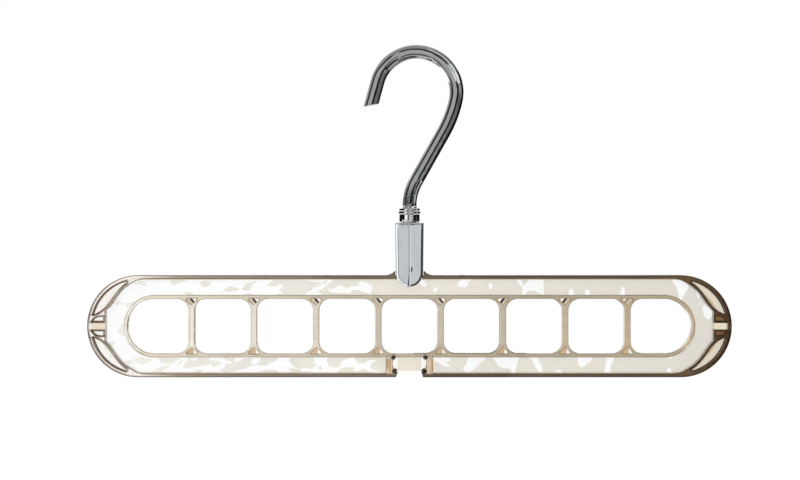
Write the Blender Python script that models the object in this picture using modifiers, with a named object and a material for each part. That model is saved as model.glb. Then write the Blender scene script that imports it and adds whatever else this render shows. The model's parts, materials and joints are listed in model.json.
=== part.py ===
# Nine-hole space-saving hanger, in metres, +Z up. X runs along the hanger and the front faces -Y.
# The origin lies on the swivel axis, where the inside of the hook's crown rests on a rail.
# Pieces are modelled with Z measured from the centre line of the row of holes, then lowered together.

import math

import bmesh
import bpy
from mathutils import Matrix, Vector

# Gap left between two pieces that seat on, press into or turn on each other
SEAT_GAP = 0.0003

# Row of holes
HOLE_COUNT = 9
HOLE_HEIGHT = 0.0305
HOLE_PITCH = 0.0348
HOLE_CORNER_RADIUS = 0.0065
DIVIDER_WIDTH = 0.0036
END_HOLE_LENGTH = 0.0340       # from the last divider to the round end

# Moulded sections of the frame
RING_WIDTH = 0.0022            # band round the row of holes
RING_DEPTH = 0.0070
WEB_HEIGHT = 0.0090            # thin wall between the ring and the rim
WEB_THICKNESS = 0.0020
WEB_HOLE_GROWTH = 0.0007       # the web's edges end this far inside the ring and the dividers
RIM_WIDTH = 0.00205
RIM_DEPTH = 0.0090
END_MARGIN = 0.0202            # from the ring's round end to the end of the hanger
EDGE_CHAMFER = 0.0003

# Three-cornered pockets where each divider meets the ring
POCKET_WIDTH = 0.0073
POCKET_HEIGHT = 0.0036
POCKET_CORNER = 0.0005
POCKET_RISE = 0.0002           # of its flat side into the band above the hole

# Ribs and pockets in the round ends
END_RIM_WIDTH = 0.0023
RIB_WIDTH = 0.0016
RIB_LEAD = 0.0053              # the rib leaves the rim this far before the round end begins
CRESCENT_LOW_ANGLE = 14.0      # degrees up the round end from its tip
CRESCENT_HIGH_ANGLE = 74.0
CRESCENT_LOW_TIP = 0.0004      # radii of the crescent's two ends
CRESCENT_HIGH_TIP = 0.00075
CRESCENT_HANDLE = 0.0100       # how strongly its inner side follows the slopes at its two ends
CRESCENT_HIGH_SLOPE = -33.0    # degrees
CRESCENT_LOW_SLOPE = -22.0
END_BLOCK_LENGTH = 0.0102      # from the tip of the hanger to the upright rib
UPRIGHT_RIB = 0.0012
END_CELL_RADIUS = 0.0056
END_TIP_WALL = 0.0017
END_BAR_HEIGHT = 0.0042

# Notch at the bottom centre, where the next hanger is linked on
NOTCH_BLOCK_WIDTH = 0.0265     # over both upright ribs
NOTCH_MOUTH = 0.0152
NOTCH_NOSE = 0.0130            # across the narrowest part, inside the mouth
NOTCH_TOP = 0.0160
NOTCH_BULGE = 0.0021
NOTCH_NOSE_RISE = 0.0028       # above the bottom of the hanger
NOTCH_TAB_RISE = 0.0034
NOTCH_FOOT_RADIUS = 0.0006     # at the corners of its mouth

# Shoulders beside the neck, and the post that carries the sheath
FLARE_RUN = 0.0057
FLARE_RISE = 0.0027
POST_RIB = 0.0016
POST_CLEARANCE = 0.0012        # below the hook's riveted end

# Bright sheath over the neck
SHEATH_TOP_WIDTH = 0.0158
SHEATH_FOOT_WIDTH = 0.0152
SHEATH_RISE = 0.0294           # above the top of the rim
SHEATH_REACH = 0.0066          # of the tongues, below the top of the rim
SHEATH_SIDE_WALL = 0.0014
SHEATH_FACE_WALL = 0.0016
SHEATH_TOP_WALL = 0.0024
SHEATH_RIDGE = 0.00035         # both faces rise by this much to a ridge down their middle
SHEATH_EDGE_RADIUS = 0.0013
LARGEST_ROUNDING = 0.9         # share of a wall's thickness that its edge may be rounded
CATCH_DEPTH = 0.0012           # ledges inside the tongues that grip under the rim
CATCH_HEIGHT = 0.0020
CATCH_WIDTH = 0.0084

# Swivel
JOURNAL_DIAMETER = 0.0046
BUSH_DIAMETER = 0.0114
BUSH_HEIGHT = 0.0044
SPIGOT_DIAMETER = 0.0074
THRUST_WASHER_DIAMETER = 0.0122
THRUST_WASHER_THICKNESS = 0.0013
SHOULDER_RING_DIAMETER = 0.0115
SHOULDER_RING_HEIGHT = 0.0023
SHOULDER_RING_BAND = 0.0011    # height of its round edge, below the cone
RETAINING_WASHER_DIAMETER = 0.0088
RETAINING_WASHER_THICKNESS = 0.0012
RIVET_DIAMETER = 0.0072
RIVET_HEIGHT = 0.0020
TURNED_CHAMFER = 0.00025

# Hook
WIRE_DIAMETER = 0.0080
SHANK_LENGTH = 0.0005          # straight part above the shoulder ring
BEND_RADIUS = 0.0269           # all three radii are to the middle of the wire
CROOK_RADIUS = 0.0632          # wide bend between the slanting part and the eye
EYE_RADIUS = 0.0225
LEAN_ANGLE = 29.4              # of the slanting part, from upright
SLANT_LENGTH = 0.0319
CROOK_SWEEP = 17.2
EYE_SWEEP = 176.8
TAIL_LENGTH = 0.0141
TIP_SLANT = 27.5               # of the cut at the tip, from square
END_RING_REACH = 1.1           # times the wire's radius, finds the wire's last ring of vertices

# Facets
HOLE_CORNER_STEPS = 5
END_HOLE_STEPS = 18
RING_END_STEPS = 20
RIM_END_STEPS = 28
CURVE_STEPS = 8
SMALL_STEPS = 3
TURNED_STEPS = 32
WIRE_RESOLUTION = 6
BEND_STEP = 8.0                # degrees between two points of a bent wire
CROOK_STEPS = 4
SMOOTH_ANGLE = 35.0            # an edge that turns more than this many degrees stays sharp

# Turns that stand an outline up: facing the front, or facing the right-hand side
FACING_FRONT = Matrix.Rotation(math.radians(90), 4, "X")
FACING_SIDE = Matrix(((0, 0, 1, 0), (1, 0, 0, 0), (0, 1, 0, 0), (0, 0, 0, 1)))

# Places that follow from the sizes above
hole_half = HOLE_HEIGHT / 2
ring_half = hole_half + RING_WIDTH
rim_inner = ring_half + WEB_HEIGHT
rim_half = rim_inner + RIM_WIDTH
last_divider = (HOLE_COUNT / 2 - 1) * HOLE_PITCH
end_hole_tip = last_divider + DIVIDER_WIDTH / 2 + END_HOLE_LENGTH
ring_end_centre = end_hole_tip - hole_half
frame_half = end_hole_tip + RING_WIDTH + END_MARGIN
rim_end_centre = frame_half - rim_half
crescent_radius = rim_half - END_RIM_WIDTH
notch_block_top = -ring_half + RING_WIDTH / 2

sheath_top = rim_half + SHEATH_RISE
sheath_ceiling = sheath_top - SHEATH_TOP_WALL
sheath_bottom = rim_half - SHEATH_REACH
sheath_foot_half = SHEATH_FOOT_WIDTH / 2
sheath_foot_centre = sheath_bottom + sheath_foot_half
cavity_half = sheath_foot_half - SHEATH_SIDE_WALL
cavity_depth_half = RIM_DEPTH / 2 + SEAT_GAP
sheath_depth_half = cavity_depth_half + SHEATH_FACE_WALL + SHEATH_RIDGE
sheath_growth = (SHEATH_TOP_WIDTH / 2 - sheath_foot_half) / (sheath_top - sheath_foot_centre)
flare_growth = sheath_growth * (rim_half + FLARE_RISE - sheath_foot_centre)
shoulder_half = sheath_foot_half + max(flare_growth, 0) + SEAT_GAP
post_half = cavity_half - SEAT_GAP

bush_low = sheath_top + SEAT_GAP
bush_high = bush_low + BUSH_HEIGHT
thrust_low = bush_high + SEAT_GAP
thrust_high = thrust_low + THRUST_WASHER_THICKNESS
shoulder_low = thrust_high + SEAT_GAP
shoulder_high = shoulder_low + SHOULDER_RING_HEIGHT
wire_end = shoulder_high + SEAT_GAP
retaining_high = sheath_ceiling - SEAT_GAP
retaining_low = retaining_high - RETAINING_WASHER_THICKNESS
rivet_high = retaining_low - SEAT_GAP
rivet_low = rivet_high - RIVET_HEIGHT
post_top = rivet_low - POST_CLEARANCE

journal_radius = JOURNAL_DIAMETER / 2
bore_radius = journal_radius + SEAT_GAP
wire_radius = WIRE_DIAMETER / 2
opening_radius = EYE_RADIUS - wire_radius
bend_start = wire_end + SHANK_LENGTH
eye_start = CROOK_SWEEP - LEAN_ANGLE       # degrees round the eye's centre
eye_end = eye_start + EYE_SWEEP
tail_heading = eye_end + 90


# Outlines are lists of points (x, z)

def arc(centre, radius, start, end, steps):
    points = []
    for i in range(steps + 1):
        angle = math.radians(start + (end - start) * i / steps)
        points.append((centre[0] + radius * math.cos(angle), centre[1] + radius * math.sin(angle)))
    return points


def bezier(p0, p1, p2, p3, steps):
    points = []
    for i in range(steps + 1):
        t = i / steps
        weights = ((1 - t) ** 3, 3 * t * (1 - t) ** 2, 3 * t ** 2 * (1 - t), t ** 3)
        x = sum(w * p[0] for w, p in zip(weights, (p0, p1, p2, p3)))
        z = sum(w * p[1] for w, p in zip(weights, (p0, p1, p2, p3)))
        points.append((x, z))
    return points


def step_from(point, length, angle):
    turn = math.radians(angle)
    return (point[0] + length * math.cos(turn), point[1] + length * math.sin(turn))


def bulged(start, end, bulge, steps):
    # The arc that stands out by the bulge, to the right of the straight way from start to end
    chord = Vector(end) - Vector(start)
    radius = (chord.length ** 2 / 4 + bulge ** 2) / (2 * bulge)
    right = Vector((chord.y, -chord.x)).normalized()
    centre = (Vector(start) + Vector(end)) / 2 - right * (radius - bulge)
    first = math.degrees(math.atan2(start[1] - centre.y, start[0] - centre.x))
    last = math.degrees(math.atan2(end[1] - centre.y, end[0] - centre.x))
    return arc(centre, radius, first, last, steps)


def shifted(points, distance):
    # The same line moved sideways, to the right of its own direction
    moved = []
    for i, (x, z) in enumerate(points):
        before = Vector(points[max(i - 1, 0)])
        after = Vector(points[min(i + 1, len(points) - 1)])
        along = (after - before).normalized()
        moved.append((x + along.y * distance, z - along.x * distance))
    return moved


def rounded_corner(before, corner, after, radius):
    to_before = (Vector(before) - Vector(corner)).normalized()
    to_after = (Vector(after) - Vector(corner)).normalized()
    half = to_before.angle(to_after) / 2
    centre = Vector(corner) + (to_before + to_after).normalized() * radius / math.sin(half)
    spoke = Vector(corner) + to_before * radius / math.tan(half) - centre
    first = math.degrees(math.atan2(spoke.y, spoke.x))
    turn = 180 - math.degrees(2 * half)
    if to_before.cross(to_after) > 0:
        turn = -turn
    return arc(centre, radius, first, first + turn, SMALL_STEPS)


def rounded_polygon(corners, radius):
    points = []
    for i, corner in enumerate(corners):
        points += rounded_corner(corners[i - 1], corner, corners[(i + 1) % len(corners)], radius)
    return points


def flip_x(points):
    return [(-x, z) for x, z in reversed(points)]


def flip_z(points):
    return [(x, -z) for x, z in reversed(points)]


def stadium(end_centre, radius, steps):
    right_end = arc((end_centre, 0), radius, -90, 90, steps)
    return right_end + flip_x(right_end)


# Holes. The web's own holes are grown a little, so that its edges end inside the ring and dividers

def middle_hole(centre, grow):
    half_width = (HOLE_PITCH - DIVIDER_WIDTH) / 2 + grow
    half_height = hole_half + grow
    radius = HOLE_CORNER_RADIUS + grow
    points = []
    for turn, (side, level) in enumerate(((1, 1), (-1, 1), (-1, -1), (1, -1))):
        corner = (centre + side * (half_width - radius), level * (half_height - radius))
        points += arc(corner, radius, 90 * turn, 90 * turn + 90, HOLE_CORNER_STEPS)
    return points


def right_end_hole(grow):
    radius = HOLE_CORNER_RADIUS + grow
    x = last_divider + DIVIDER_WIDTH / 2 - grow + radius
    level = hole_half + grow - radius
    round_end = arc((ring_end_centre, 0), hole_half + grow, -90, 90, END_HOLE_STEPS)
    upper_corner = arc((x, level), radius, 90, 180, HOLE_CORNER_STEPS)
    lower_corner = arc((x, -level), radius, 180, 270, HOLE_CORNER_STEPS)
    return round_end + upper_corner + lower_corner


def all_holes(grow):
    holes = [right_end_hole(grow), flip_x(right_end_hole(grow))]
    for i in range(1, HOLE_COUNT - 1):
        holes.append(middle_hole((i - (HOLE_COUNT - 1) / 2) * HOLE_PITCH, grow))
    return holes


def divider_pockets():
    pockets = []
    for i in range(HOLE_COUNT - 1):
        x = i * HOLE_PITCH - last_divider
        level = hole_half + POCKET_RISE
        left = (x - POCKET_WIDTH / 2, level)
        right = (x + POCKET_WIDTH / 2, level)
        pocket = rounded_polygon([left, (x, level - POCKET_HEIGHT), right], POCKET_CORNER)
        pockets += [pocket, flip_z(pocket)]
    return pockets


# Round ends, drawn for the upper right quarter

def on_round_end(radius, angle):
    return step_from((rim_end_centre, 0), radius, angle)


def crescent_inner_side():
    high = on_round_end(crescent_radius - 2 * CRESCENT_HIGH_TIP, CRESCENT_HIGH_ANGLE)
    low = on_round_end(crescent_radius - 2 * CRESCENT_LOW_TIP, CRESCENT_LOW_ANGLE)
    high_handle = step_from(high, CRESCENT_HANDLE, CRESCENT_HIGH_SLOPE)
    low_handle = step_from(low, -CRESCENT_HANDLE, CRESCENT_LOW_SLOPE)
    return bezier(high, high_handle, low_handle, low, CURVE_STEPS)


def crescent():
    low, high = CRESCENT_LOW_ANGLE, CRESCENT_HIGH_ANGLE
    outer_side = arc((rim_end_centre, 0), crescent_radius, low, high, CURVE_STEPS)
    high_centre = on_round_end(crescent_radius - CRESCENT_HIGH_TIP, high)
    low_centre = on_round_end(crescent_radius - CRESCENT_LOW_TIP, low)
    high_tip = arc(high_centre, CRESCENT_HIGH_TIP, high, high + 180, SMALL_STEPS)
    low_tip = arc(low_centre, CRESCENT_LOW_TIP, low - 180, low, SMALL_STEPS)
    return outer_side + high_tip[1:-1] + crescent_inner_side() + low_tip[1:-1]


def end_cell():
    centre = (frame_half - END_TIP_WALL - END_CELL_RADIUS, 0)
    side = frame_half - END_BLOCK_LENGTH + UPRIGHT_RIB
    bar_half = END_BAR_HEIGHT / 2
    low_angle = math.degrees(math.asin(bar_half / END_CELL_RADIUS))
    round_side = arc(centre, END_CELL_RADIUS, low_angle, 90, CURVE_STEPS)
    return round_side + [(side, END_CELL_RADIUS), (side, bar_half)]


def end_pockets():
    pockets = []
    for pocket in (crescent(), end_cell()):
        pockets += [pocket, flip_x(pocket), flip_z(pocket), flip_x(flip_z(pocket))]
    return pockets


def rib_inner_side():
    # From where the rib leaves the rim, along the crescent, to the upright rib
    start = (rim_end_centre - RIB_LEAD, rim_inner)
    beside = shifted(crescent_inner_side(), RIB_WIDTH)
    upright = frame_half - END_BLOCK_LENGTH
    kept = [point for point in beside if point[0] < upright]
    last, beyond = kept[-1], beside[len(kept)]
    share = (upright - last[0]) / (beyond[0] - last[0])
    corner = (upright, last[1] + share * (beyond[1] - last[1]))
    lead_in = bezier(
        start,
        (rim_end_centre, rim_inner),
        step_from(kept[0], -RIB_LEAD, CRESCENT_HIGH_SLOPE),
        kept[0],
        CURVE_STEPS,
    )
    return lead_in + kept[1:] + [corner]


# Notch and neck, drawn for the right-hand half

def notch_side():
    # From the bottom of the hanger up to the inside of the ring's band
    mouth = (NOTCH_MOUTH / 2, -rim_half)
    nose = (NOTCH_NOSE / 2, NOTCH_NOSE_RISE - rim_half)
    top = (NOTCH_TOP / 2, -ring_half)
    foot = rounded_corner((NOTCH_BLOCK_WIDTH / 2, -rim_half), mouth, nose, NOTCH_FOOT_RADIUS)
    return foot + bulged(nose, top, NOTCH_BULGE, CURVE_STEPS) + [(top[0], notch_block_top)]


def neck_side():
    # Along the shoulder beside the sheath, down to the rail and up the post to its top
    radius = (FLARE_RUN ** 2 + FLARE_RISE ** 2) / (2 * FLARE_RISE)
    sweep = math.degrees(math.asin(FLARE_RUN / radius))
    centre = (shoulder_half + FLARE_RUN, rim_half + radius)
    flare = arc(centre, radius, 270, 270 - sweep, CURVE_STEPS)
    post_foot = (post_half, rim_half)
    top_corner = rounded_corner(post_foot, (post_half, post_top), (0, post_top), POST_RIB)
    return flare + [(shoulder_half, rim_half), post_foot] + top_corner


def post_pocket():
    half = post_half - POST_RIB
    ceiling = post_top - POST_RIB
    return [(half, ceiling), (-half, ceiling), (-half, rim_half), (half, rim_half)]


def rim_outline():
    # Once round the outside of the rim and back round its inside, because the notch cuts it open
    block = NOTCH_BLOCK_WIDTH / 2
    round_end = arc((rim_end_centre, 0), rim_half, -90, 90, RIM_END_STEPS)
    outside = notch_side()[::-1] + round_end + neck_side()
    quarter = rib_inner_side()
    inside = quarter + flip_z(quarter) + [(block, -rim_inner), (block, notch_block_top)]
    return outside + flip_x(outside) + flip_x(inside) + inside


def web_outline():
    # Its edges end in the middle of the rim, and it stops short above the notch's mouth
    half = rim_half - RIM_WIDTH / 2
    step = (NOTCH_BLOCK_WIDTH + NOTCH_TOP) / 4
    tab = NOTCH_TAB_RISE - rim_half
    web_post_half = post_half - POST_RIB / 2
    right_end = arc((rim_end_centre, 0), half, -90, 90, RIM_END_STEPS)
    post = [(web_post_half, half), (web_post_half, post_top - POST_RIB / 2)]
    right_side = [(step, tab), (step, -half)] + right_end + post
    return right_side + flip_x(right_side)


# Solids

def new_collection(name):
    collection = bpy.data.collections.new(name)
    bpy.context.scene.collection.children.link(collection)
    return collection


def material(name, colour, roughness, metallic, transmission=0.0):
    made = bpy.data.materials.new(name)
    made.use_nodes = True
    shader = made.node_tree.nodes["Principled BSDF"]
    shader.inputs["Base Color"].default_value = (*colour, 1.0)
    shader.inputs["Roughness"].default_value = roughness
    shader.inputs["Metallic"].default_value = metallic
    shader.inputs["Transmission Weight"].default_value = transmission
    return made


def mesh_object(curve_object, collection):
    # A welded mesh takes the curve object's place
    bpy.context.view_layer.update()
    evaluated = curve_object.evaluated_get(bpy.context.evaluated_depsgraph_get())
    mesh = bpy.data.meshes.new_from_object(evaluated)
    mesh.transform(curve_object.matrix_world)
    work = bmesh.new()
    work.from_mesh(mesh)
    bmesh.ops.remove_doubles(work, verts=work.verts, dist=1e-6)
    bmesh.ops.beautify_fill(work, faces=work.faces, edges=work.edges, method="ANGLE")
    bmesh.ops.dissolve_limit(work, angle_limit=0.001, verts=work.verts, edges=work.edges)
    work.to_mesh(mesh)
    work.free()
    name = curve_object.name
    bpy.data.objects.remove(curve_object)
    made = bpy.data.objects.new(name, mesh)
    collection.objects.link(made)
    return made


def add_spline(curve, points, closed):
    spline = curve.splines.new("POLY")
    spline.points.add(len(points) - 1)
    for place, point in zip(spline.points, points):
        place.co = (*point, 1.0)
    spline.use_cyclic_u = closed


def plate(name, loops, depth, chamfer, collection, facing=FACING_FRONT, steps=1):
    curve = bpy.data.curves.new(name, "CURVE")
    curve.dimensions = "2D"
    curve.fill_mode = "BOTH"
    curve.extrude = depth / 2 - chamfer
    curve.bevel_depth = chamfer
    curve.bevel_resolution = steps - 1
    curve.offset = -chamfer
    for loop in loops:
        add_spline(curve, [(x, z, 0.0) for x, z in loop], True)
    outline = bpy.data.objects.new(name, curve)
    outline.matrix_world = facing
    collection.objects.link(outline)
    return mesh_object(outline, collection)


def turned(name, profile, closed, collection):
    # The profile runs outwards along its top, down its outer side and back in along its bottom
    edges = [(i, i + 1) for i in range(len(profile) - 1)]
    if closed:
        edges.append((len(profile) - 1, 0))
    mesh = bpy.data.meshes.new(name)
    mesh.from_pydata([(radius, 0.0, z) for radius, z in profile], edges, [])
    made = bpy.data.objects.new(name, mesh)
    collection.objects.link(made)
    screw = made.modifiers.new("Turn", "SCREW")
    screw.steps = TURNED_STEPS
    screw.render_steps = TURNED_STEPS
    screw.use_merge_vertices = True
    screw.merge_threshold = 0.00001
    return made


def block(name, low, high, collection):
    mesh = bpy.data.meshes.new(name)
    work = bmesh.new()
    bmesh.ops.create_cube(work, size=1.0)
    size = Vector(high) - Vector(low)
    middle = (Vector(high) + Vector(low)) / 2
    placing = Matrix.Translation(middle) @ Matrix.Diagonal((*size, 1.0))
    bmesh.ops.transform(work, matrix=placing, verts=work.verts)
    work.to_mesh(mesh)
    work.free()
    made = bpy.data.objects.new(name, mesh)
    collection.objects.link(made)
    return made


def combine(target, tool, operation):
    tool.hide_render = True
    tool.display_type = "WIRE"
    boolean = target.modifiers.new(tool.name, "BOOLEAN")
    boolean.operation = operation
    boolean.solver = "EXACT"
    boolean.object = tool


def finish_object(made, surface):
    made.data.materials.clear()
    made.data.materials.append(surface)
    made.data.shade_smooth()
    made.data.set_sharp_from_angle(angle=math.radians(SMOOTH_ANGLE))


def hanger_frame(parts, cutters, surface):
    rim_loops = [rim_outline(), post_pocket()] + end_pockets()
    frame = plate("hanger_frame", rim_loops, RIM_DEPTH, EDGE_CHAMFER, parts)
    web_loops = [web_outline()] + all_holes(WEB_HOLE_GROWTH)
    web = plate("web", web_loops, WEB_THICKNESS, 0.0, cutters)
    ring_outline = stadium(ring_end_centre, ring_half, RING_END_STEPS)
    ring_loops = [ring_outline] + all_holes(0.0) + divider_pockets()
    ring = plate("ring_and_dividers", ring_loops, RING_DEPTH, EDGE_CHAMFER, cutters)
    combine(frame, web, "UNION")
    combine(frame, ring, "UNION")
    finish_object(frame, surface)
    return frame


def sheath_outline():
    foot = arc((0, sheath_foot_centre), sheath_foot_half, -90, 0, 2 * CURVE_STEPS)
    right_side = foot + [(SHEATH_TOP_WIDTH / 2, sheath_top)]
    return right_side + flip_x(right_side)[:-1]


def raise_ridge(sheath):
    # Both faces slope back from a ridge down their middle
    work = bmesh.new()
    work.from_mesh(sheath.data)
    everything = work.verts[:] + work.edges[:] + work.faces[:]
    bmesh.ops.bisect_plane(work, geom=everything, dist=1e-6, plane_co=(0, 0, 0), plane_no=(1, 0, 0))
    for vertex in work.verts:
        fall = SHEATH_RIDGE / sheath_depth_half * abs(vertex.co.x) / sheath_foot_half
        vertex.co.y *= 1 - fall
    work.to_mesh(sheath.data)
    work.free()


def tongue_gap_outline():
    # Seen from the side: the gap between the two tongues, with a ledge on each under the rim
    wide = cavity_depth_half
    narrow = cavity_depth_half - CATCH_DEPTH
    catch_high = rim_inner - SEAT_GAP
    catch_low = catch_high - CATCH_HEIGHT
    right_side = [
        (wide, sheath_bottom - SHEATH_REACH),
        (wide, catch_low),
        (narrow, catch_low + CATCH_DEPTH / 2),
        (narrow, catch_high),
        (wide, catch_high),
        (wide, rim_half + SEAT_GAP),
    ]
    return right_side + flip_x(right_side)


def neck_sheath(parts, cutters, surface):
    radius = min(SHEATH_EDGE_RADIUS, LARGEST_ROUNDING * SHEATH_FACE_WALL)
    sheath = plate("neck_sheath", [sheath_outline()], 2 * sheath_depth_half, radius, parts, steps=3)
    raise_ridge(sheath)
    over_width = 2 * max(SHEATH_TOP_WIDTH, SHEATH_FOOT_WIDTH)
    tongue_gap = plate("tongue_gap", [tongue_gap_outline()], over_width, 0.0, cutters, FACING_SIDE)
    cavity = block(
        "sheath_cavity",
        (-cavity_half, -cavity_depth_half, rim_half),
        (cavity_half, cavity_depth_half, sheath_ceiling),
        cutters,
    )
    spigot_hole_radius = SPIGOT_DIAMETER / 2 + SEAT_GAP
    hole_top = sheath_top + SHEATH_TOP_WALL
    hole_bottom = sheath_ceiling - SHEATH_TOP_WALL
    profile = [
        (0, hole_top),
        (spigot_hole_radius, hole_top),
        (spigot_hole_radius, hole_bottom),
        (0, hole_bottom),
    ]
    spigot_hole = turned("spigot_hole", profile, False, cutters)
    combine(sheath, tongue_gap, "DIFFERENCE")
    beside = (("left", -over_width, -CATCH_WIDTH / 2), ("right", CATCH_WIDTH / 2, over_width))
    for side, near, far in beside:
        beside_catches = block(
            f"beside_catches_{side}",
            (near, -cavity_depth_half, sheath_bottom - SHEATH_REACH),
            (far, cavity_depth_half, rim_half),
            cutters,
        )
        combine(sheath, beside_catches, "DIFFERENCE")
    combine(sheath, cavity, "DIFFERENCE")
    combine(sheath, spigot_hole, "DIFFERENCE")
    finish_object(sheath, surface)
    return sheath


def washer(name, diameter, low, high, collection, surface):
    radius = diameter / 2
    chamfer = TURNED_CHAMFER
    profile = [
        (bore_radius, high),
        (radius - chamfer, high),
        (radius, high - chamfer),
        (radius, low + chamfer),
        (radius - chamfer, low),
        (bore_radius, low),
    ]
    made = turned(name, profile, True, collection)
    finish_object(made, surface)
    return made


def swivel_bush(parts, surface):
    radius = BUSH_DIAMETER / 2
    spigot_radius = SPIGOT_DIAMETER / 2
    profile = [
        (bore_radius, bush_high),
        (radius - TURNED_CHAMFER, bush_high),
        (radius, bush_high - TURNED_CHAMFER),
        (radius, bush_low + TURNED_CHAMFER),
        (radius - TURNED_CHAMFER, bush_low),
        (spigot_radius, bush_low),
        (spigot_radius, sheath_ceiling),
        (bore_radius, sheath_ceiling),
    ]
    bush = turned("swivel_bush", profile, True, parts)
    finish_object(bush, surface)
    return bush


def shoulder_ring(parts, surface):
    radius = SHOULDER_RING_DIAMETER / 2
    band_top = shoulder_low + SHOULDER_RING_BAND
    profile = [
        (bore_radius, shoulder_high),
        (wire_radius, shoulder_high),
        (radius, band_top),
        (radius, shoulder_low + TURNED_CHAMFER),
        (radius - TURNED_CHAMFER, shoulder_low),
        (bore_radius, shoulder_low),
    ]
    ring = turned("shoulder_ring", profile, True, parts)
    finish_object(ring, surface)
    return ring


# Hook. Its path runs up the shank, leans over, bends slowly, goes round the eye and ends in the tail

def crook_centre():
    bend_end = step_from((BEND_RADIUS, bend_start), BEND_RADIUS, 180 - LEAN_ANGLE)
    slant_end = step_from(bend_end, SLANT_LENGTH, 90 - LEAN_ANGLE)
    return step_from(slant_end, CROOK_RADIUS, 180 - LEAN_ANGLE)


def eye_centre():
    return step_from(crook_centre(), CROOK_RADIUS - EYE_RADIUS, eye_start)


def rest_height():
    # Where a rail under the crown touches the wire on the swivel axis
    across, up = eye_centre()
    return up + math.sqrt(opening_radius ** 2 - across ** 2)


def tip_centre():
    tail_start = step_from(eye_centre(), EYE_RADIUS, eye_end)
    return step_from(tail_start, TAIL_LENGTH, tail_heading)


def uncut_end():
    # The wire is first drawn this far, and then cut to its slanted tip
    return step_from(tip_centre(), WIRE_DIAMETER, tail_heading)


def hook_path():
    bend_steps = round(LEAN_ANGLE / BEND_STEP)
    eye_steps = round(EYE_SWEEP / BEND_STEP)
    bend = arc((BEND_RADIUS, bend_start), BEND_RADIUS, 180, 180 - LEAN_ANGLE, bend_steps)
    crook = arc(crook_centre(), CROOK_RADIUS, -LEAN_ANGLE, eye_start, CROOK_STEPS)
    eye = arc(eye_centre(), EYE_RADIUS, eye_start, eye_end, eye_steps)
    return [(0, wire_end)] + bend + crook + eye[1:] + [uncut_end()]


def cut_tip(wire):
    direction = math.radians(tail_heading + TIP_SLANT)
    across, up = tip_centre()
    end_across, end_up = uncut_end()
    work = bmesh.new()
    work.from_mesh(wire.data)
    end = Vector((end_across, 0, end_up))
    reach = END_RING_REACH * wire_radius
    end_ring = [vertex for vertex in work.verts if (vertex.co - end).length < reach]
    last_faces = {face for vertex in end_ring for face in vertex.link_faces}
    tail = {item for face in last_faces for item in [face, *face.edges, *face.verts]}
    bmesh.ops.bisect_plane(
        work,
        geom=list(tail),
        dist=1e-6,
        plane_co=(across, 0, up),
        plane_no=(math.cos(direction), 0, math.sin(direction)),
        clear_outer=True,
    )
    open_edges = [edge for edge in work.edges if edge.is_boundary]
    bmesh.ops.holes_fill(work, edges=open_edges)
    work.to_mesh(wire.data)
    work.free()


def hook(parts, cutters, surface):
    curve = bpy.data.curves.new("hook", "CURVE")
    curve.dimensions = "3D"
    curve.bevel_depth = wire_radius
    curve.bevel_resolution = WIRE_RESOLUTION
    curve.use_fill_caps = True
    add_spline(curve, [(x, 0.0, z) for x, z in hook_path()], False)
    path = bpy.data.objects.new("hook", curve)
    parts.objects.link(path)
    wire = mesh_object(path, parts)
    cut_tip(wire)
    rivet_radius = RIVET_DIAMETER / 2
    dome = arc((0, 0), 1.0, 0, -90, CURVE_STEPS)
    journal_top = wire_end + wire_radius
    profile = [(0, journal_top), (journal_radius, journal_top), (journal_radius, rivet_high)]
    profile += [(rivet_radius * x, rivet_high + RIVET_HEIGHT * z) for x, z in dome[:-1]]
    profile.append((0, rivet_low))
    journal = turned("journal", profile, False, cutters)
    combine(wire, journal, "UNION")
    finish_object(wire, surface)
    return wire


def main():
    for old in list(bpy.data.objects):
        bpy.data.objects.remove(old)
    parts = new_collection("nine_hole_hanger")
    cutters = new_collection("cutters")
    clear_plastic = material("clear_plastic", (0.85, 0.76, 0.62), 0.08, 0.0, 0.9)
    bright_plate = material("bright_plate", (0.80, 0.81, 0.82), 0.08, 1.0)
    retaining = ("retaining_washer", RETAINING_WASHER_DIAMETER, retaining_low, retaining_high)
    thrust = ("thrust_washer", THRUST_WASHER_DIAMETER, thrust_low, thrust_high)
    hook_group = [
        hook(parts, cutters, bright_plate),
        shoulder_ring(parts, bright_plate),
        washer(*retaining, parts, bright_plate),
    ]
    frame_group = [
        hanger_frame(parts, cutters, clear_plastic),
        neck_sheath(parts, cutters, bright_plate),
        swivel_bush(parts, bright_plate),
        washer(*thrust, parts, bright_plate),
    ]
    drop = rest_height()
    for made in hook_group + list(cutters.objects):
        made.location.z = -drop
    swivel = bpy.data.objects.new("frame_swivel", None)
    swivel.location.z = bush_high - drop
    parts.objects.link(swivel)
    for made in frame_group:
        made.parent = swivel
        made.location.z = -bush_high
    bpy.context.view_layer.update()


main()
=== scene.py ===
import json
import math
from types import SimpleNamespace

import bmesh
import bpy
from mathutils import Matrix, Vector

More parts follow.
